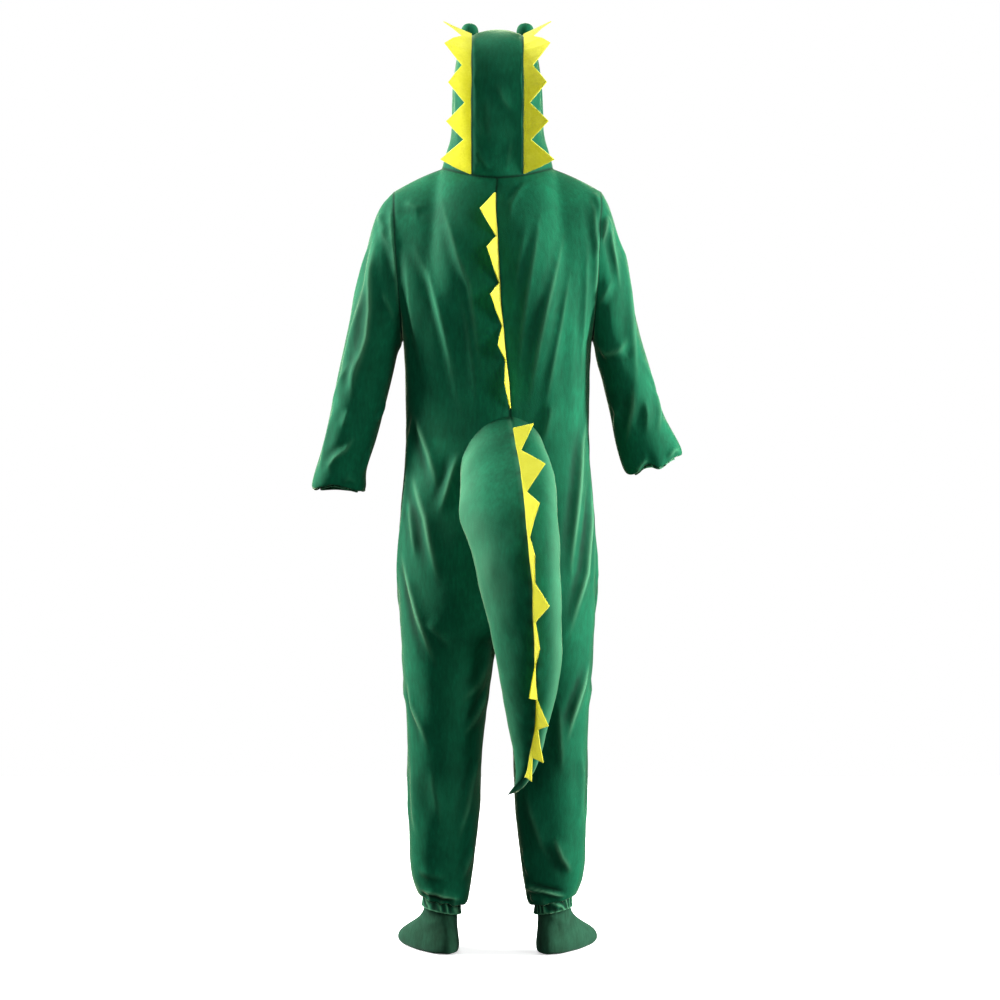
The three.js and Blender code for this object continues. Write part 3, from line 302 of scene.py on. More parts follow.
VELOUR_WALLS = ["back_left", "back_right", "front_left", "front_right", "sleeve_left", "sleeve_right",
                "wrist_cuff_left", "wrist_cuff_right", "ankle_cuff_left", "ankle_cuff_right",
                "hood_back", "hood_left", "hood_right", "placket"]
SOCKS = ["foot_cover_left", "foot_cover_right"]
skins = {node: outer_skin(node) for node in VELOUR_WALLS + SOCKS}

# %% Hold the corners where three or more pieces meet
corners = KDTree(sum(len(bm.verts) for bm in skins.values()))
owners = []
for node, bm in skins.items():
    for vertex in bm.verts:
        if vertex.is_boundary:
            corners.insert(vertex.co, len(owners))
            owners.append(node)
corners.balance()
for node, bm in skins.items():
    crease = bm.verts.layers.float.new("crease_vert")
    for vertex in bm.verts:
        if vertex.is_boundary:
            near = {owners[i] for _, i, _ in corners.find_range(vertex.co, 0.001)}
            if len(near) >= 3:
                vertex[crease] = 1.0


# %% [markdown]
# A smooth surface comes from three rounds of Catmull-Clark subdivision. Neighbouring panels have the same
# points along a seam, so their edges stay together as they are rounded.

# %% Round a skin into smooth cloth
def piece_from(name, bm, material):
    """A new object with its place in its mesh."""
    mesh = bpy.data.meshes.new(name)
    bm.to_mesh(mesh)
    bm.free()
    mesh.materials.append(material)
    mesh.shade_smooth()
    piece = bpy.data.objects.new(name, mesh)
    scene.collection.objects.link(piece)
    return piece


def bake(piece):
    """Puts a piece's modifiers into its mesh."""
    bpy.context.view_layer.update()
    graph = bpy.context.evaluated_depsgraph_get()
    mesh = bpy.data.meshes.new_from_object(piece.evaluated_get(graph))
    piece.modifiers.clear()
    piece.data = mesh


def rounded(piece, levels):
    """Subdivides a piece for good, keeping the corners of its edge."""
    smooth = piece.modifiers.new("round", "SUBSURF")
    smooth.levels = levels
    smooth.render_levels = levels
    smooth.boundary_smooth = "PRESERVE_CORNERS"
    bake(piece)


cloth = {}
for node, bm in skins.items():
    cloth[node] = piece_from(f"{node}_cloth", bm, JERSEY if node in SOCKS else VELOUR)
    rounded(cloth[node], 3)
print("cloth vertices:", {node: len(piece.data.vertices) for node, piece in cloth.items()})


# %% Places, normals and edges as arrays
def array_of(collection, field, width, kind=np.float64):
    values = np.empty(len(collection) * width, kind)
    collection.foreach_get(field, values)
    return values.reshape(-1, width) if width > 1 else values


def edge_points(piece):
    """The numbers of the vertices on a piece's free edge."""
    mesh = piece.data
    ends = array_of(mesh.edges, "vertices", 2, np.int32)
    loops = array_of(mesh.loops, "edge_index", 1, np.int32)
    uses = np.bincount(loops, minlength=len(mesh.edges))
    return np.unique(ends[uses == 1])


state = {}
for node, piece in cloth.items():
    state[node] = {
        "place": array_of(piece.data.vertices, "co", 3),
        "normal": array_of(piece.data.vertex_normals, "vector", 3),
        "edge": edge_points(piece),
    }

# %% [markdown]
# Where two panels are sewn together their edges share one direction to move in, so a fold that crosses a
# seam doesn't tear it. An edge with no neighbour, such as a hem, keeps its own direction.

# %% Share directions along seams
seam_tree = KDTree(sum(len(s["edge"]) for s in state.values()))
seam_index = []
for node, s in state.items():
    for i in s["edge"]:
        seam_tree.insert(s["place"][i], len(seam_index))
        seam_index.append((node, i))
seam_tree.balance()
for node, s in state.items():
    s["sewn"] = np.zeros(len(s["place"]), bool)
    s["shared"] = s["normal"].copy()
    s["partners"] = {}
    for i in s["edge"]:
        nearest = {}
        for _, k, gap in seam_tree.find_range(s["place"][i], 0.0012):
            other, j = seam_index[k]
            if other != node and (other not in nearest or gap < nearest[other][1]):
                nearest[other] = (j, gap)
        if nearest:
            s["sewn"][i] = True
            s["partners"][i] = [(other, j) for other, (j, _) in nearest.items()]
            total = s["normal"][i] + sum(state[n]["normal"][k] for n, k in s["partners"][i])
            s["shared"][i] = total / np.linalg.norm(total)
    print(node, "edge", len(s["edge"]), "sewn", int(s["sewn"].sum()))

# %% Distance from the seam, for every point
for node, s in state.items():
    tree = KDTree(len(s["edge"]))
    for i in s["edge"]:
        tree.insert(s["place"][i], i)
    tree.balance()
    s["from_edge"] = np.array([tree.find(p)[2] for p in s["place"]])

# %% Distance from the nearest hem: an edge that is free or runs along an elastic casing
def hem_points(node):
    s = state[node]
    return [i for i in s["edge"] if i not in s["partners"] or
            "cuff" not in node and any("cuff" in other for other, _ in s["partners"][i])]


for node, s in state.items():
    hem = hem_points(node)
    s["from_hem"] = np.full(len(s["place"]), 9.0)
    if hem:
        tree = KDTree(len(hem))
        for i in hem:
            tree.insert(s["place"][i], int(i))
        tree.balance()
        s["from_hem"] = np.array([tree.find(p)[2] for p in s["place"]])
    print(node, "hem points", len(hem))

# %% [markdown]
# Folds are raised one by one. Each row of the table is one soft ridge with a trough beside it: the way it is
# seen from (the back, the front, or the wearer's left or right side), its course as points across and
# above the floor in millimetres, its width and height, and how strong a painted highlight lies along its
# crest and a painted shade in its trough. A row's course is first thrown onto the cloth along that view, so
# it lies on the surface wherever the garment is round.

# %% Folds
FOLDS = [
    ("back", 9, 5.5, 0.3, [(206, 1501), (208, 1446), (202, 1388), (196, 1310), (190, 1232)]),
    ("back", 8, 4.4, 0.1, [(235, 1464), (227, 1442), (211, 1421)]),
    ("back", 11, 5.5, 0.3, [(235, 1452), (248, 1380), (256, 1329), (268, 1286), (286, 1232),
        (301, 1173), (313, 1114), (323, 1060)]),
    ("back", 12, 6.6, 0.55, [(233, 1442), (248, 1348), (250, 1270), (256, 1216), (280, 1142), (295, 1072)]),
    ("back", 9, 4.4, 0.1, [(233, 1438), (219, 1411), (204, 1384)]),
    ("back", 10, 4.4, 0.1, [(227, 1313), (213, 1278), (198, 1239)]),
    ("back", 8, 4.4, 0.1, [(235, 1054), (223, 1091), (206, 1138)]),
    ("back", 9, 4.4, 0.1, [(319, 1095), (328, 1054), (338, 1017), (348, 976), (358, 943)]),
    ("back", 9, 4.4, 0.1, [(293, 1081), (299, 1058), (307, 1035)]),
    ("back", 8, 5.5, 0.3, [(278, 1027), (299, 998), (319, 984), (332, 968), (334, 947)]),
    ("back", 7, 3.9, 0.08, [(221, 1081), (231, 1068), (243, 1054)]),
    ("back", 7, 3.9, 0.08, [(229, 1044), (237, 1025), (247, 1003)]),
    ("back", 7, 4.4, 0.1, [(250, 1011), (262, 970), (274, 941)]),
    ("back", 7, 3.9, 0.08, [(307, 927), (295, 941), (276, 935)]),
    ("back", 9, 4.4, 0.1, [(268, 1192), (284, 1150), (288, 1105)]),
    ("back", 9, 5.5, 0.3, [(-177, 1512), (-190, 1466), (-194, 1395), (-190, 1310), (-188, 1208)]),
    ("back", 8, 4.4, 0.1, [(-188, 1510), (-200, 1475), (-198, 1442)]),
    ("back", 8, 6.6, 0.55, [(-216, 1462), (-210, 1426), (-204, 1393)]),
    ("back", 8, 6.6, 0.55, [(-216, 1466), (-223, 1403), (-235, 1348), (-243, 1306)]),
    ("back", 12, 5.5, 0.3, [(-221, 1464), (-247, 1388), (-260, 1310), (-266, 1232), (-272, 1154),
        (-270, 1091)]),
    ("back", 10, 5.5, 0.3, [(-194, 1206), (-214, 1185), (-239, 1192), (-260, 1224)]),
    ("back", 9, 4.4, 0.1, [(-194, 1272), (-212, 1306), (-227, 1337)]),
    ("back", 8, 4.4, 0.1, [(-223, 1091), (-235, 1072), (-231, 1040), (-225, 1017)]),
    ("back", 10, 5.5, 0.3, [(-266, 1134), (-266, 1085), (-258, 1033), (-251, 1005)]),
    ("back", 10, 5.5, 0.3, [(-307, 1134), (-319, 1072), (-317, 1025)]),
    ("back", 8, 5.5, 0.3, [(-272, 960), (-286, 972), (-303, 972), (-317, 962)]),
    ("back", 8, 5.5, 0.3, [(-323, 962), (-333, 984), (-348, 998), (-362, 999)]),
    ("back", 9, 4.4, 0.1, [(-288, 1105), (-294, 1066), (-292, 1021)]),
    ("back", 9, 3.5, 0.2, [(114, 1504), (102, 1454), (89, 1413), (77, 1370), (55, 1313), (48, 1261),
        (40, 1196), (28, 1124)]),
    ("back", 9, 3.1, 0.1, [(167, 1423), (155, 1376), (130, 1329), (110, 1265), (92, 1187), (67, 1099)]),
    ("back", 8, 2.7, 0.08, [(141, 1388), (124, 1310), (102, 1212), (81, 1111), (61, 1046)]),
    ("back", 8, 2.3, 0.08, [(77, 1310), (59, 1232), (46, 1144), (38, 1066)]),
    ("back", 9, 2.7, 0.08, [(180, 1388), (172, 1290), (155, 1192), (132, 1085)]),
    ("back", 10, 3.1, 0.1, [(186, 1485), (159, 1471), (132, 1479)]),
    ("back", 6, 3.1, 0.1, [(-60, 1526), (-40, 1501), (-26, 1473), (-21, 1423)]),
    ("back", 8, 3.5, 0.2, [(-87, 1481), (-75, 1399), (-60, 1310), (-48, 1232), (-40, 1130)]),
    ("back", 9, 3.8, 0.3, [(-134, 1438), (-118, 1364), (-99, 1286), (-83, 1212), (-67, 1122), (-54, 1056)]),
    ("back", 8, 3.5, 0.2, [(-145, 1364), (-128, 1270), (-114, 1192), (-99, 1111), (-89, 1046)]),
    ("back", 8, 3.1, 0.1, [(-177, 1430), (-173, 1310), (-165, 1192), (-161, 1079)]),
    ("back", 7, 2.3, 0.08, [(-56, 1436), (-42, 1364), (-34, 1290)]),
    ("back", 10, 6.6, 0.55, [(167, 1077), (149, 1031), (133, 988), (122, 947), (114, 908)]),
    ("back", 9, 5.5, 0.3, [(169, 1099), (163, 1074), (172, 1025), (174, 984), (176, 939), (186, 861),
        (194, 804)]),
    ("back", 9, 5.5, 0.3, [(174, 908), (169, 871), (163, 822), (159, 773)]),
    ("back", 12, 7.2, 0.7, [(169, 958), (159, 923), (139, 863), (130, 812), (120, 767), (112, 728)]),
    ("back", 10, 7.7, 0.8, [(190, 802), (172, 740), (155, 676), (135, 617), (116, 568)]),
    ("back", 10, 6.1, 0.4, [(73, 999), (85, 962), (98, 916), (116, 867)]),
    ("back", 12, 5.5, 0.3, [(16, 588), (34, 543), (73, 504)]),
    ("back", 9, 6.6, 0.55, [(18, 530), (32, 494), (48, 465), (69, 436)]),
    ("back", 9, 6.6, 0.55, [(178, 553), (165, 494), (147, 455), (133, 405)]),
    ("back", 13, 4.4, 0.1, [(141, 666), (112, 637), (89, 608)]),
    ("back", 13, 5, 0.2, [(170, 393), (167, 334), (163, 276), (153, 218)]),
    ("back", 11, 5.5, 0.3, [(34, 403), (50, 348), (59, 296), (71, 253), (75, 225)]),
    ("back", 9, 5.5, 0.3, [(46, 218), (61, 178), (71, 145)]),
    ("back", 12, 4.4, 0.1, [(132, 374), (120, 315), (112, 256)]),
    ("back", 9, 4.4, 0.1, [(159, 175), (132, 161), (94, 157)]),
    ("back", 8, 5, 0.2, [(102, 136), (112, 110), (118, 87)]),
    ("back", 8, 5, 0.2, [(135, 134), (132, 112), (137, 91)]),
    ("back", 8, 5, 0.2, [(83, 124), (87, 104), (92, 87)]),
    ("back", 10, 7.2, 0.7, [(-179, 1077), (-165, 1011), (-159, 927), (-149, 842), (-143, 779),
        (-147, 713)]),
    ("back", 10, 8.2, 0.85, [(-184, 958), (-180, 842), (-173, 758), (-153, 686), (-134, 617)]),
    ("back", 9, 7.7, 0.8, [(-182, 588), (-165, 533), (-147, 477), (-134, 420)]),
    ("back", 9, 5, 0.2, [(-188, 861), (-186, 783), (-188, 705)]),
    ("back", 12, 4.4, 0.1, [(-108, 1095), (-97, 1046), (-85, 998)]),
    ("back", 12, 5, 0.2, [(-120, 510), (-122, 432), (-128, 354)]),
    ("back", 12, 5, 0.2, [(-52, 338), (-64, 292), (-87, 221), (-108, 184)]),
    ("back", 10, 6.6, 0.55, [(-110, 241), (-126, 198), (-149, 163)]),
    ("back", 12, 4.4, 0.1, [(-163, 432), (-167, 350), (-161, 237)]),
    ("back", 8, 5.5, 0.3, [(-50, 218), (-58, 178), (-65, 151)]),
    ("back", 8, 5.5, 0.3, [(-44, 134), (-64, 134), (-93, 126)]),
    ("back", 8, 5, 0.2, [(-93, 120), (-89, 100), (-83, 85)]),
    ("back", 8, 5, 0.2, [(-122, 116), (-124, 99), (-120, 81)]),
    ("back", 8, 5, 0.2, [(-67, 124), (-73, 104), (-79, 87)]),
    ("back", 5, 6.1, 1, [(155, 132), (110, 122), (69, 110)]),
    ("back", 5, 6.1, 1, [(-149, 114), (-93, 130), (-42, 143)]),
    ("back", 8, 3.3, 0.08, [(42, 1584), (30, 1563), (13, 1540)]),
    ("back", 10, 2.2, 0.08, [(3, 1711), (-11, 1674), (-32, 1647)]),
    ("back", 11, 2.8, 0.08, [(22, 1690), (18, 1631), (16, 1579)]),
    ("back", 9, 2.2, 0.08, [(-28, 1602), (-21, 1567), (-19, 1540)]),
    ("front", 13, 5.2, 0.2, [(150, 1440), (120, 1360), (95, 1280), (80, 1190)]),
    ("front", 13, 5.2, 0.2, [(-145, 1430), (-118, 1345), (-90, 1270), (-78, 1170)]),
    ("front", 12, 4.6, 0.2, [(95, 1430), (75, 1350), (60, 1260), (56, 1160)]),
    ("front", 12, 4.6, 0.2, [(-95, 1420), (-70, 1330), (-58, 1230)]),
    ("front", 11, 5.8, 0.2, [(176, 1210), (150, 1130), (120, 1060)]),
    ("front", 11, 5.8, 0.2, [(-172, 1200), (-150, 1140), (-118, 1050)]),
    ("front", 12, 5.8, 0.2, [(178, 1040), (140, 960), (100, 890), (60, 840)]),
    ("front", 12, 6.3, 0.2, [(-178, 1050), (-145, 950), (-98, 880), (-55, 830)]),
    ("front", 10, 5.8, 0.2, [(170, 930), (135, 870), (90, 815), (40, 790)]),
    ("front", 10, 5.8, 0.2, [(-172, 920), (-128, 860), (-80, 805)]),
    ("front", 10, 6.9, 0.2, [(185, 860), (165, 780), (140, 700), (120, 640)]),
    ("front", 10, 6.9, 0.2, [(-188, 850), (-160, 770), (-142, 690), (-125, 610)]),
    ("front", 11, 5.8, 0.2, [(60, 700), (75, 630), (88, 560)]),
    ("front", 11, 5.8, 0.2, [(-58, 690), (-70, 620), (-90, 545)]),
    ("front", 10, 6.9, 0.2, [(165, 560), (135, 520), (95, 505)]),
    ("front", 10, 6.3, 0.2, [(-160, 580), (-130, 530), (-90, 520)]),
    ("front", 9, 5.8, 0.2, [(160, 470), (130, 440), (95, 430)]),
    ("front", 9, 5.8, 0.2, [(-158, 490), (-128, 450), (-92, 450)]),
    ("front", 11, 5.2, 0.2, [(150, 400), (142, 320), (130, 230)]),
    ("front", 11, 5.2, 0.2, [(-152, 410), (-140, 310), (-135, 220)]),
    ("front", 11, 5.2, 0.2, [(90, 390), (98, 300), (92, 210)]),
    ("front", 11, 5.2, 0.2, [(-90, 400), (-95, 310), (-88, 200)]),
    ("front", 9, 5.8, 0.2, [(150, 190), (125, 160), (95, 150)]),
    ("front", 9, 5.8, 0.2, [(-150, 180), (-120, 155), (-92, 160)]),
    ("front", 10, 6.3, 0.2, [(225, 1450), (245, 1330), (262, 1220)]),
    ("front", 10, 6.3, 0.2, [(-225, 1440), (-248, 1340), (-258, 1230)]),
    ("front", 9, 5.8, 0.2, [(205, 1340), (235, 1260), (270, 1190)]),
    ("front", 9, 5.8, 0.2, [(-205, 1330), (-230, 1250), (-262, 1180)]),
    ("front", 9, 6.3, 0.2, [(230, 1180), (270, 1150), (300, 1090)]),
    ("front", 9, 6.3, 0.2, [(-220, 1170), (-255, 1160), (-285, 1130)]),
    ("front", 9, 5.8, 0.2, [(255, 1110), (290, 1060), (330, 1020)]),
    ("front", 9, 5.8, 0.2, [(-245, 1110), (-280, 1080), (-320, 1070)]),
    ("front", 8, 4.6, 0.2, [(290, 1010), (310, 980), (330, 955)]),
    ("front", 8, 4.6, 0.2, [(-300, 1040), (-320, 1010), (-330, 985)]),
    ("left", 11, 3.5, 0.2, [(-60, 1010), (-30, 900), (10, 800)]),
    ("left", 10, 4.2, 0.2, [(60, 880), (30, 780), (-10, 690), (-30, 600)]),
    ("left", 11, 3.5, 0.2, [(-40, 560), (0, 520), (40, 500)]),
    ("left", 11, 2.8, 0.2, [(-20, 420), (-10, 320), (10, 220)]),
    ("left", 9, 3.5, 0.2, [(30, 1420), (10, 1330), (-10, 1240)]),
    ("left", 8, 2.8, 0.2, [(50, 1180), (20, 1120), (-10, 1080)]),
    ("right", 11, 3.5, 0.2, [(-60, 1000), (-25, 890), (15, 790)]),
    ("right", 10, 4.2, 0.2, [(55, 870), (25, 770), (-15, 680), (-35, 590)]),
    ("right", 11, 3.5, 0.2, [(-45, 570), (-5, 520), (35, 505)]),
    ("right", 11, 2.8, 0.2, [(-15, 430), (-15, 330), (5, 230)]),
    ("right", 9, 3.5, 0.2, [(25, 1410), (5, 1330), (-15, 1250)]),
    ("right", 8, 2.8, 0.2, [(45, 1190), (15, 1140), (-15, 1100)]),
    ("left", 9, 2.4, 0.2, [(40, 1760), (60, 1690), (64, 1620), (52, 1570)]),
    ("left", 9, 2.4, 0.2, [(5, 1775), (15, 1700), (22, 1630), (28, 1575)]),
    ("left", 8, 2.1, 0.2, [(-55, 1750), (-50, 1680), (-35, 1610), (-20, 1570)]),
    ("right", 9, 2.4, 0.2, [(45, 1765), (58, 1700), (60, 1630), (48, 1575)]),
    ("right", 9, 2.4, 0.2, [(10, 1780), (18, 1700), (20, 1640), (24, 1580)]),
    ("right", 8, 2.1, 0.2, [(-60, 1740), (-48, 1670), (-38, 1600), (-25, 1565)]),
    ("front", 8, 2.9, 0.2, [(95, 85), (112, 78), (132, 84)]),
    ("front", 8, 2.9, 0.2, [(-98, 86), (-114, 77), (-130, 83)]),
    ("left", 9, 1.8, 0.2, [(20, 70), (-5, 60), (-30, 62)]),
    ("right", 9, 1.8, 0.2, [(22, 68), (-2, 60), (-28, 60)]),
    ("back", 9, 2.3, 0.2, [(92, 80), (108, 72), (122, 82)]),
    ("back", 9, 2.3, 0.2, [(-94, 82), (-110, 74), (-124, 80)]),
]


def course_on_cloth(view, points, surface):
    """The course of a fold as points on the cloth, about 12 mm apart."""
    axis = {"back": (0, -1, 0), "front": (0, 1, 0), "left": (-1, 0, 0), "right": (1, 0, 0)}[view]
    fine = []
    for (a0, h0), (a1, h1) in zip(points, points[1:]):
        steps = max(2, round(math.dist((a0, h0), (a1, h1)) / 12))
        fine += [(a0 + (a1 - a0) * t / steps, h0 + (h1 - h0) * t / steps) for t in range(steps)]
    fine.append(points[-1])
    hits = []
    for across, height in fine:
        z = (height - 1500) / 1000
        start = (across / 1000, -axis[1], z) if axis[1] else (-axis[0], across / 1000, z)
        hit = surface.ray_cast(Vector(start), Vector(axis))
        if hit[0] is not None:
            hits.append((hit[0], hit[1]))
    return hits


def smooth_step(t):
    t = np.clip(t, 0, 1)
    return t * t * (3 - 2 * t)


def fold_rise(s, hits, width, height):
    """How far each point is lifted by one fold, and how near it is to its crest and its trough."""
    line = np.array([p for p, _ in hits])
    face = np.array([n for _, n in hits])
    rise = np.zeros((3, len(s["place"])))
    low = line.min(0) - 3 * width
    high = line.max(0) + 3 * width
    inside = np.where(((s["place"] > low) & (s["place"] < high)).all(1))[0]
    if len(inside) == 0:
        return rise
    p = s["place"][inside]
    best = np.full(len(inside), 1e9)
    across = np.zeros(len(inside))
    along = np.zeros(len(inside))
    facing = np.zeros(len(inside))
    lengths = np.linalg.norm(np.diff(line, axis=0), axis=1)
    reach = np.concatenate([[0], np.cumsum(lengths)])
    for k, (a, b) in enumerate(zip(line, line[1:])):
        d = b - a
        t = np.clip((p - a) @ d / (d @ d + 1e-12), 0, 1)
        gap = p - (a + t[:, None] * d)
        far = np.linalg.norm(gap, axis=1)
        closer = far < best
        side = np.cross(d / (np.linalg.norm(d) + 1e-9), face[k])
        best[closer] = far[closer]
        across[closer] = (gap @ side)[closer]
        along[closer] = (reach[k] + t * lengths[k])[closer]
        facing[closer] = (s["normal"][inside] @ face[k])[closer]
    whole = reach[-1]
    taper = smooth_step(along / (0.35 * whole + 1e-9)) * smooth_step((whole - along) / (0.45 * whole + 1e-9))
    beyond = np.sqrt(np.maximum(best ** 2 - across ** 2, 0))
    taper = taper * np.exp(-((beyond / width) ** 2)) * smooth_step((facing + 0.1) / 0.5)
    crest = np.exp(-(np.abs(across / np.where(across > 0, width * 0.7, width * 1.25)) ** 1.5))
    trough = np.exp(-(((across - 1.75 * width) / (0.95 * width)) ** 2))
    rise[0, inside] = height * taper * (crest - 0.3 * trough)
    rise[1, inside] = taper * np.exp(-((across / (0.42 * width)) ** 2))
    rise[2, inside] = taper * trough
    return rise


# %% Raise them
def surface_of(nodes):
    """One tree of all these pieces' faces, for rays."""
    points = []
    faces = []
    for node in nodes:
        mesh = cloth[node].data
        faces += [[len(points) + i for i in polygon.vertices] for polygon in mesh.polygons]
        points += [v.co.copy() for v in mesh.vertices]
    return BVHTree.FromPolygons(points, faces)


ROUND_BODY = [n for n in cloth if n != "placket" and "cuff" not in n]
body_surface = surface_of(ROUND_BODY)
rises = {node: np.zeros(len(s["place"])) for node, s in state.items()}
for s in state.values():
    s["crest"] = np.zeros(len(s["place"]))
    s["hollow"] = np.zeros(len(s["place"]))
for view, width, height, painted_light, points in FOLDS:
    hits = course_on_cloth(view, points, body_surface)
    if len(hits) > 1:
        for node in ROUND_BODY:
            s = state[node]
            rise, crest_highlight, trough = fold_rise(s, hits, width / 1000, height / 1000)
            rises[node] += rise
            # Painted highlight along the fold's crest and painted shade in its trough, scaled by the row's fourth
            # column.
            s["crest"] = np.maximum(s["crest"], crest_highlight * painted_light)
            s["hollow"] = np.maximum(s["hollow"], trough * painted_light * 0.8)
print("folds:", len(FOLDS))

# %% [markdown]
# A sewn seam is pulled in a little by its thread, and the cloth beside it puckers in small waves of uneven
# length. Between folds, the cloth also has slow undulations of a few millimetres.

# %% Seam grooves, puckers and slow waves
SEAM_PULL = 0.0012
PUCKER = 0.0010
SLOW_WAVE = 0.0012
for node, s in state.items():
    if node == "placket" or "cuff" in node:
        continue
    seam = np.exp(-((s["from_edge"] / 0.005) ** 2))
    near_seam = np.exp(-((s["from_edge"] / 0.022) ** 2)) - seam
    small = np.array([noise.noise(Vector(p) * 42) for p in s["place"]])
    slow = np.array([noise.noise(Vector((p[0] * 16, p[1] * 16, p[2] * 7))) for p in s["place"]])
    soft = 0.5 if node in SOCKS else 1.0
    rises[node] += -SEAM_PULL * seam + PUCKER * near_seam * small * soft
    rises[node] += SLOW_WAVE * slow * smooth_step(s["from_edge"] / 0.03) * soft
    free = ~s["sewn"]
    free[np.setdiff1d(np.arange(len(free)), s["edge"])] = False
    rises[node][free] *= 0.3

# %% [markdown]
# An elastic casing is gathered: its cloth stands up in small sharp pleats of uneven width that run slantwise
# and fade towards the elastic.

# %% Gathers of the casings
# Columns: how many pleats go round, their height in metres, how far they slant in a turn's share.
GATHERS = {"ankle": (15, 0.0026, 0.16), "wrist": (19, 0.0014, 0.06)}
for node, s in state.items():
    if "cuff" not in node:
        continue
    count, height, slant = GATHERS[node.split("_")[0]]
    middle = s["place"].mean(0)
    low, high = s["place"][:, 2].min(), s["place"][:, 2].max()
    turn = np.arctan2(s["place"][:, 1] - middle[1], s["place"][:, 0] - middle[0])
    level = (s["place"][:, 2] - low) / (high - low)
    wander = np.array([noise.noise(Vector((math.cos(a) * 1.3, math.sin(a) * 1.3, lv * 0.8 + middle[0] * 9)))
                       for a, lv in zip(turn, level)])
    phase = count * turn + slant * 2 * math.pi * count * (level - 0.5) * 0.5 + 7.0 * wander
    pleat = np.abs(np.cos(phase / 2)) ** 5
    rises[node] += height * (pleat - 0.35) * (0.45 + 0.55 * smooth_step(level * 1.6))
    # Painted highlight along the tops of the pleats and painted shade between them.
    s["crest"] = np.maximum(s["crest"], 0.7 * pleat ** 3)
    s["hollow"] = np.maximum(s["hollow"], 0.75 * (1 - pleat) ** 3)

# %% Hems that rise and dip
# Columns: pieces, where the hem lies across and above the floor, its reach across, how far it lifts, all in mm.
HEM_WAVES = [
    ("left", 325, 929, 26, 8), ("left", 268, 922, 16, -5),
    ("right", -268, 958, 20, -6), ("right", -322, 985, 15, -9), ("right", -296, 972, 12, 6),
]
HEM_FADE = 0.045
for side, across, height, reach, lift in HEM_WAVES:
    for node in (f"sleeve_{side}", f"wrist_cuff_{side}"):
        s = state[node]
        hem_z = (height - 1500) / 1000
        near = np.exp(-(((s["place"][:, 0] - across / 1000) / (reach / 1000)) ** 2))
        low = smooth_step(1 - (s["place"][:, 2] - hem_z) / HEM_FADE)
        behind = smooth_step(0.5 + (s["place"][:, 1] - s["place"][:, 1].mean()) / 0.03)
        s["place"][:, 2] += lift / 1000 * near * low * (0.35 + 0.65 * behind)

# %% Hood hem: the face edge is turned back 14 mm and stitched
HEM_DEPTH = 0.014
for node in ("hood_left", "hood_right"):
    s = state[node]
    rises[node] += 0.0006 * smooth_step((HEM_DEPTH - s["from_hem"]) / 0.002)
    # Painted shade: a dark line along the step at the inner edge of the turned-back hem.
    s["hollow"] = np.maximum(s["hollow"], 0.5 * np.exp(-(((s["from_hem"] - HEM_DEPTH) / 0.0015) ** 2)))

# %% Put every rise into the cloth
moved = {node: s["place"] + s["shared"] * rises[node][:, None] for node, s in state.items()}
for node, piece in cloth.items():
    s = state[node]
    s["place"] = moved[node].copy()
    for i, others in s["partners"].items():
        s["place"][i] = np.mean([moved[node][i]] + [moved[n][j] for n, j in others], axis=0)
    # Painted shade: a dark band along every seam groove. Painted highlight: a pale band along every hem, which also
    # takes the seam's shade off there.
    seam_line = 0.8 * np.exp(-((s["from_edge"] / 0.0025) ** 2))
    if node not in SOCKS:
        hem_highlight = 0.9 * np.exp(-((s["from_hem"] / 0.0022) ** 2))
        s["hollow"] = np.maximum(s["hollow"], seam_line) * (1 - hem_highlight)
        s["crest"] = np.maximum(s["crest"], hem_highlight)
    for name in ("crest", "hollow"):
        field = piece.data.attributes.new(name, "FLOAT", "POINT")
        field.data.foreach_set("value", np.clip(s[name], 0, 1).astype(np.float32))
    piece.data.vertices.foreach_set("co", s["place"].ravel())
    piece.data.update()


# %% [markdown]
# Solidify gives the cloth its thickness again, inwards, so the outer face stays where the folds put it.

# %% Thickness
def sharp_edges(mesh, chosen):
    """Marks edges whose two sides are shaded apart."""
    if "sharp_edge" not in mesh.attributes:
        mesh.attributes.new("sharp_edge", "BOOLEAN", "EDGE")
    mesh.attributes["sharp_edge"].data.foreach_set("value", chosen)


def thicken(piece, thickness):
    uses = np.bincount(array_of(piece.data.loops, "edge_index", 1, np.int32), minlength=len(piece.data.edges))
    sharp_edges(piece.data, uses == 1)
    wall = piece.modifiers.new("thickness", "SOLIDIFY")
    wall.thickness = thickness
    wall.offset = -1
    wall.use_rim = True


for node, piece in cloth.items():
    thicken(piece, 0.0016 if "cuff" in node else 0.002)
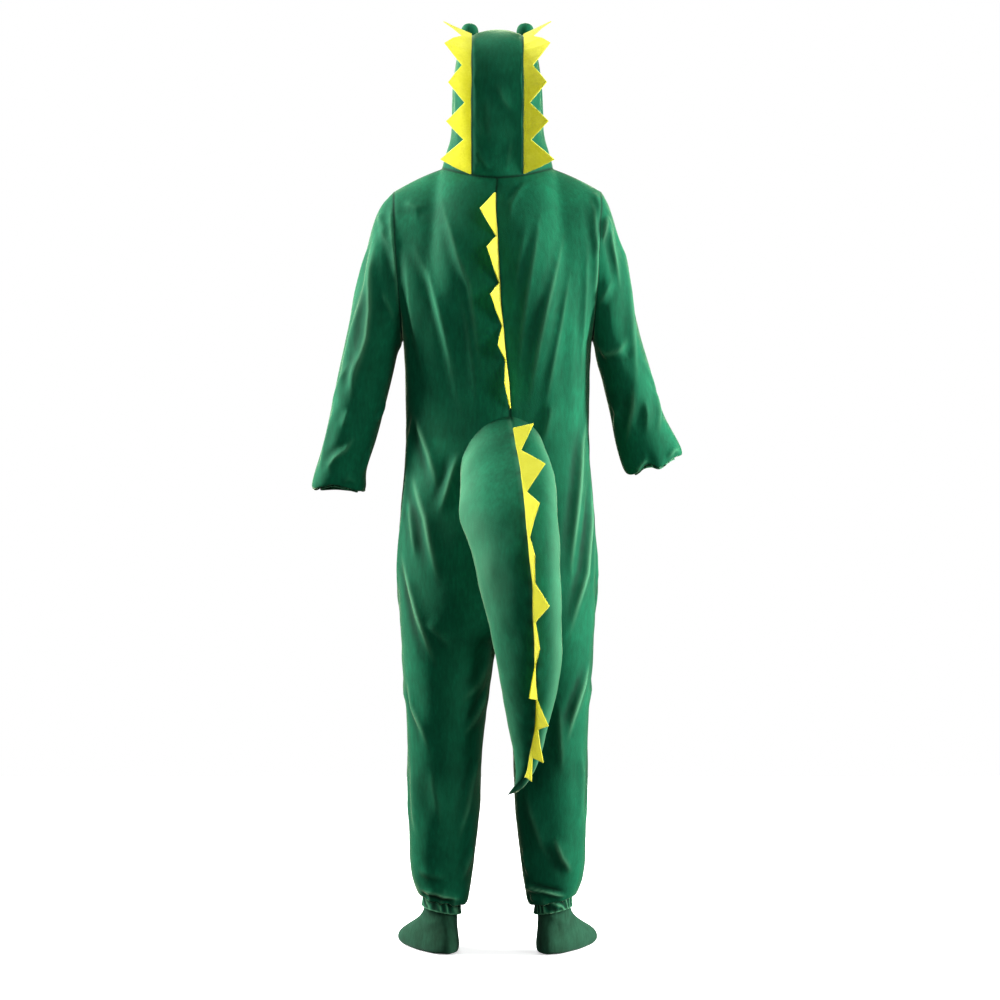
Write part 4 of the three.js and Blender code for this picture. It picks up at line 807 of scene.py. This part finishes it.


# %% [markdown]
# The tail and the ears are stuffed. Their packed forms are closed solids, so they are rounded as they are,
# with the sharp edge where two halves meet held by a crease as a sewn seam.

# %% Stuffed pieces
def stuffed(node, wave):
    """A rounded stuffed piece, with dents of uneven size that fade at its seam."""
    bm = merged_copy(node)
    bmesh.ops.join_triangles(bm, faces=bm.faces, angle_face_threshold=math.radians(35),
                             angle_shape_threshold=math.pi, topology_influence=1.0)
    crease = bm.edges.layers.float.new("crease_edge")
    for edge in bm.edges:
        if len(edge.link_faces) == 2 and edge.calc_face_angle(0) > math.radians(50):
            edge[crease] = 1.0
    seam = [v.co.copy() for v in bm.verts if any(e[crease] for e in v.link_edges)]
    piece = piece_from(f"{node}_stuffed", bm, VELOUR)
    rounded(piece, 2)
    mesh = piece.data
    place = array_of(mesh.vertices, "co", 3)
    normal = array_of(mesh.vertex_normals, "vector", 3)
    tree = KDTree(max(1, len(seam)))
    for i, point in enumerate(seam or [Vector((9, 9, 9))]):
        tree.insert(point, i)
    tree.balance()
    from_seam = np.array([tree.find(p)[2] for p in place])
    dents = np.array([noise.noise(Vector((p[0] * 26, p[1] * 26, p[2] * 15))) for p in place])
    fine = np.array([noise.noise(Vector((p[0] * 60, p[1] * 60, p[2] * 34))) for p in place])
    place += normal * (wave * (dents + 0.4 * fine) * smooth_step(from_seam / 0.02))[:, None]
    mesh.vertices.foreach_set("co", place.ravel())
    # Painted highlight: the sides that face left and right are made paler in uneven patches, less so low on the
    # wearer's left side. Painted shade: the colour is made darker beside the seam.
    patchy = 0.7 + 0.3 * smooth_step(0.5 + 0.7 * dents)
    low_left = (normal[:, 0] > 0) * smooth_step((-0.68 - place[:, 2]) / 0.2)
    painted_side_highlight = (1 - 0.75 * low_left) * smooth_step((np.abs(normal[:, 0]) - 0.3) / 0.6) * patchy * (0.42 if "tail" in node else 0.2)
    painted_seam_shade = 0.55 * np.exp(-((from_seam / 0.012) ** 2))
    for name, values in (("crest", painted_side_highlight), ("hollow", painted_seam_shade)):
        field = mesh.attributes.new(name, "FLOAT", "POINT")
        field.data.foreach_set("value", np.clip(values, 0, 1).astype(np.float32))
    mesh.update()
    mesh.set_sharp_from_angle(angle=math.radians(48))
    return piece


STUFFED = {"tail_left": 0.0022, "tail_right": 0.0022, "ear_left": 0.0005, "ear_right": 0.0005}
stuffing = {node: stuffed(node, wave) for node, wave in STUFFED.items()}
print("stuffed:", {n: len(p.data.polygons) for n, p in stuffing.items()})


# %% [markdown]
# The felt strips are cut flat and stand up by their own stiffness, so they only curl a little. Their
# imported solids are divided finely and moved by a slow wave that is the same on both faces.

# %% Felt strips
def felt_strip(node, felt_shade):
    bm = merged_copy(node)
    for _ in range(2):
        bmesh.ops.subdivide_edges(bm, edges=[e for e in bm.edges if e.calc_length() > 0.004],
                                  cuts=1, use_grid_fill=True)
    bmesh.ops.triangulate(bm, faces=bm.faces)
    for vertex in bm.verts:
        vertex.co += noise.noise_vector(vertex.co * 22) * 0.0012
    bmesh.ops.recalc_face_normals(bm, faces=bm.faces)
    piece = piece_from(f"{node}_felt", bm, FELT)
    piece.data.shade_flat()
    # Painted shade: the strip's share of the darker felt colour.
    field = piece.data.attributes.new("hollow", "FLOAT", "POINT")
    field.data.foreach_set("value", np.full(len(piece.data.vertices), felt_shade, np.float32))
    return piece


# Painted shade for each strip, standing in for how much light reaches it; the tail's strip gets most.
FELT_STRIPS = {"hood_spikes_left": 0.15, "hood_spikes_right": 0.0, "back_spikes": 0.45, "tail_spikes": 0.7}
felt = {node: felt_strip(node, felt_shade) for node, felt_shade in FELT_STRIPS.items()}
print("felt faces:", {n: len(p.data.polygons) for n, p in felt.items()})

# %% [markdown]
# Sewing thread is about half a millimetre thick, with stitches a little over three millimetres long. Each
# stitch is a short strand that dips into the cloth at both ends. A row of them follows a free edge at a
# set distance, or the base of a felt strip.

# %% One stitch, and a row of them along a course
THREAD_RADIUS = 0.00032
STITCH, STEP = 0.0032, 0.0044


def add_stitch(bm, start, end, face, radius=THREAD_RADIUS):
    along = end - start
    side = face.cross(along).normalized()
    rings = []
    for t, swell, lift in ((0, 0.4, -1.0), (0.2, 0.9, 0.3), (0.5, 1.0, 0.7), (0.8, 0.9, 0.3), (1, 0.4, -1.0)):
        middle = start + along * t + face * (radius * lift)
        rings.append([bm.verts.new(middle + (side * math.cos(a) + face * math.sin(a)) * (radius * swell))
                      for a in (math.tau * k / 6 for k in range(6))])
    for lower, upper in zip(rings, rings[1:]):
        for k in range(6):
            bm.faces.new((lower[k], lower[k - 1], upper[k - 1], upper[k]))
    bm.faces.new(rings[0])
    bm.faces.new(rings[-1][::-1])


def add_row(bm, course, surface):
    """Stitches along a course of points, each pressed to the nearest place on the surface."""
    lengths = [0.0]
    for a, b in zip(course, course[1:]):
        lengths.append(lengths[-1] + (b - a).length)
    def place(distance):
        k = min(max(int(np.searchsorted(lengths, distance)) - 1, 0), len(course) - 2)
        share = (distance - lengths[k]) / max(lengths[k + 1] - lengths[k], 1e-9)
        return surface.find_nearest(course[k].lerp(course[k + 1], share))[:2]
    count = int(lengths[-1] / STEP)
    for i in range(count):
        (start, face), (end, _) = place(i * STEP), place(i * STEP + STITCH)
        if 0.5 * STITCH < (end - start).length < 1.5 * STITCH:
            add_stitch(bm, start, end, face)
    return count


def sewing(name, bm):
    bmesh.ops.recalc_face_normals(bm, faces=bm.faces)
    piece = piece_from(name, bm, THREAD)
    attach(piece, "root")
    return piece


def tree_of(mesh):
    return BVHTree.FromPolygons([v.co.copy() for v in mesh.vertices], [list(p.vertices) for p in mesh.polygons])


# %% Courses that follow an edge
def chains(node, chosen):
    """The chosen edge points of a piece as rows in order."""
    mesh = cloth[node].data
    ends = array_of(mesh.edges, "vertices", 2, np.int32)
    uses = np.bincount(array_of(mesh.loops, "edge_index", 1, np.int32), minlength=len(mesh.edges))
    chosen = set(int(i) for i in chosen)
    near = {}
    for a, b in ends[uses == 1].tolist():
        if a in chosen and b in chosen:
            near.setdefault(a, set()).add(b)
            near.setdefault(b, set()).add(a)
    rows = []
    while near:
        at = min(near, key=lambda v: (len(near[v]), v))
        row = [at]
        while near.get(at):
            following = near[at].pop()
            near[following].discard(at)
            at = following
            row.append(at)
        near = {v: n for v, n in near.items() if n}
        rows.append(row)
    return rows


def inset_course(node, row, inset, surface):
    """Points on the cloth at a set distance inside an edge."""
    s = state[node]
    line = s["place"][row]
    inward = np.cross(s["normal"][row], np.gradient(line, axis=0))
    inward /= np.linalg.norm(inward, axis=1)[:, None] + 1e-12
    gaps = [sum(surface.find_nearest(Vector(p))[3] for p in line + sign * inward * inset) for sign in (1, -1)]
    return [Vector(p) for p in line + (1 if gaps[0] < gaps[1] else -1) * inward * inset]


# Columns: the name of the sewing, the pieces it is sewn on, and its distance inside their hem in metres.
HEM_SEWING = [
    ("placket_stitches", ["placket"], 0.0035),
    ("hood_hem_stitches", ["hood_left", "hood_right"], 0.0125),
    ("wrist_hem_stitches", ["sleeve_left", "sleeve_right"], 0.009),
    ("ankle_casing_stitches", ["ankle_cuff_left", "ankle_cuff_right"], 0.005),
]
stitches = {}
for name, nodes, inset in HEM_SEWING:
    bm = bmesh.new()
    count = 0
    for node in nodes:
        surface = tree_of(cloth[node].data)
        for row in chains(node, hem_points(node)):
            if len(row) > 8:
                count += add_row(bm, inset_course(node, row, inset, surface), surface)
    stitches[name] = sewing(name, bm)
    print(name, count)

# %% The seams that hold the felt
bm = bmesh.new()
for node, beside in (("hood_spikes_left", ["hood_left", "hood_back"]), ("back_spikes", ["back_left", "back_right"]),
                     ("hood_spikes_right", ["hood_right", "hood_back"]), ("tail_spikes", ["tail_left", "tail_right"])):
    host = {**cloth, **stuffing}
    grounds = [tree_of(host[n].data) for n in beside]
    strip = felt[node].data
    near = [v.co for v in strip.vertices if min(g.find_nearest(v.co)[3] for g in grounds) < 0.003]
    levels = {}
    for p in near:
        levels.setdefault(round(p.z / 0.006), []).append(p)
    course = [sum(ps, Vector()) / len(ps) for _, ps in sorted(levels.items())]
    count = add_row(bm, course, tree_of(strip))
    print(node, "base points", len(near), "stitches", count)
stitches["felt_stitches"] = sewing("felt_stitches", bm)

# %% [markdown]
# A button is moulded with a raised rim, a dished face and four holes, and is sewn on with two bars of
# thread. Under it the placket has a buttonhole worked in close stitches, a little longer than the button.

# %% Buttons
RIM = [(0, 0.0), (8.4, 0.0), (9.2, 0.5), (9.5, 1.3), (9.2, 2.5), (8.2, 3.2), (7.3, 3.4), (6.6, 2.9), (6.0, 2.2),
       (4.6, 1.9), (0, 1.8)]
HOLE_RADIUS, HOLE_AT = 0.0009, 0.0017


def revolved(profile, steps):
    bm = bmesh.new()
    points = [bm.verts.new((r / 1000, 0, z / 1000)) for r, z in profile]
    edges = [bm.edges.new(pair) for pair in zip(points, points[1:])]
    bmesh.ops.spin(bm, geom=points + edges, cent=(0, 0, 0), axis=(0, 0, 1), angle=math.tau, steps=steps)
    bmesh.ops.remove_doubles(bm, verts=bm.verts, dist=1e-6)
    bmesh.ops.recalc_face_normals(bm, faces=bm.faces)
    return bm


blank = piece_from("button_blank", revolved(RIM, 40), RESIN)
drills = bmesh.new()
for x, y in ((-1, -1), (-1, 1), (1, -1), (1, 1)):
    made = bmesh.ops.create_cone(drills, cap_ends=True, segments=14, radius1=HOLE_RADIUS, radius2=HOLE_RADIUS,
                                 depth=0.01)
    bmesh.ops.translate(drills, verts=made["verts"], vec=(x * HOLE_AT, y * HOLE_AT, 0.001))
drill = piece_from("button_drill", drills, RESIN)
cut = blank.modifiers.new("holes", "BOOLEAN")
cut.operation = "DIFFERENCE"
cut.solver = "EXACT"
cut.object = drill
bake(blank)
BUTTON_MESH = blank.data
for helper in (blank, drill):
    bpy.data.objects.remove(helper)
print("button faces:", len(BUTTON_MESH.polygons))

placket_surface = tree_of(cloth["placket"].data)
buttons = {}
thread = bmesh.new()
holes = bmesh.new()
for node in [f"button_{i}" for i in range(1, 6)]:
    points = array_of(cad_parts[node].data.vertices, "co", 3)
    middle = (points.min(0) + points.max(0)) / 2
    axis = Vector(np.linalg.svd(points - points.mean(0))[2][2])
    axis = axis if axis.y < 0 else -axis
    depths = (points - middle) @ np.array(axis)
    seat = Matrix.Translation(Vector(middle) + axis * float(depths.min())) @ \
        axis.to_track_quat("Z", "X").to_matrix().to_4x4()
    bm = bmesh.new()
    bm.from_mesh(BUTTON_MESH)
    bm.transform(seat)
    buttons[node] = piece_from(f"{node}_moulded", bm, RESIN)
    buttons[node].data.set_sharp_from_angle(angle=math.radians(40))
    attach(buttons[node], "root")
    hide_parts(node)
    for x in (-1, 1):
        for shift in (-0.0003, 0.0003):
            ends = [seat @ Vector((x * HOLE_AT + shift, y * HOLE_AT, 0.0019)) for y in (-1.25, 1.25)]
            add_stitch(thread, *ends, axis)
    for k in range(-13, 14):
        for side in (-1, 1):
            z = middle[2] + k * 0.0009
            (start, face), (end, _) = [placket_surface.find_nearest(Vector((x, middle[1], z)))[:2]
                                       for x in (side * 0.0004, side * 0.0028)]
            add_stitch(holes, start, end, face, 0.00028)
stitches["button_thread"] = sewing("button_thread", thread)
stitches["buttonhole_stitches"] = sewing("buttonhole_stitches", holes)

# %% Say which pieces stand for which nodes
for node, piece in {**cloth, **stuffing, **felt}.items():
    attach(piece, "root")
    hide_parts(node)

# %% Measure
def area_of(piece):
    graph = bpy.context.evaluated_depsgraph_get()
    mesh = piece.evaluated_get(graph).to_mesh()
    total = sum(polygon.area for polygon in mesh.polygons)
    faces = len(mesh.loop_triangles) or sum(len(p.vertices) - 2 for p in mesh.polygons)
    piece.evaluated_get(graph).to_mesh_clear()
    return total, faces


total_faces = 0
for node, piece in {**cloth, **stuffing, **felt, **stitches, **buttons}.items():
    area, faces = area_of(piece)
    total_faces += faces
    print(f"{node}: half its surface {area / 2:.3f} m2, {faces} triangles")
print("triangles in all:", total_faces)
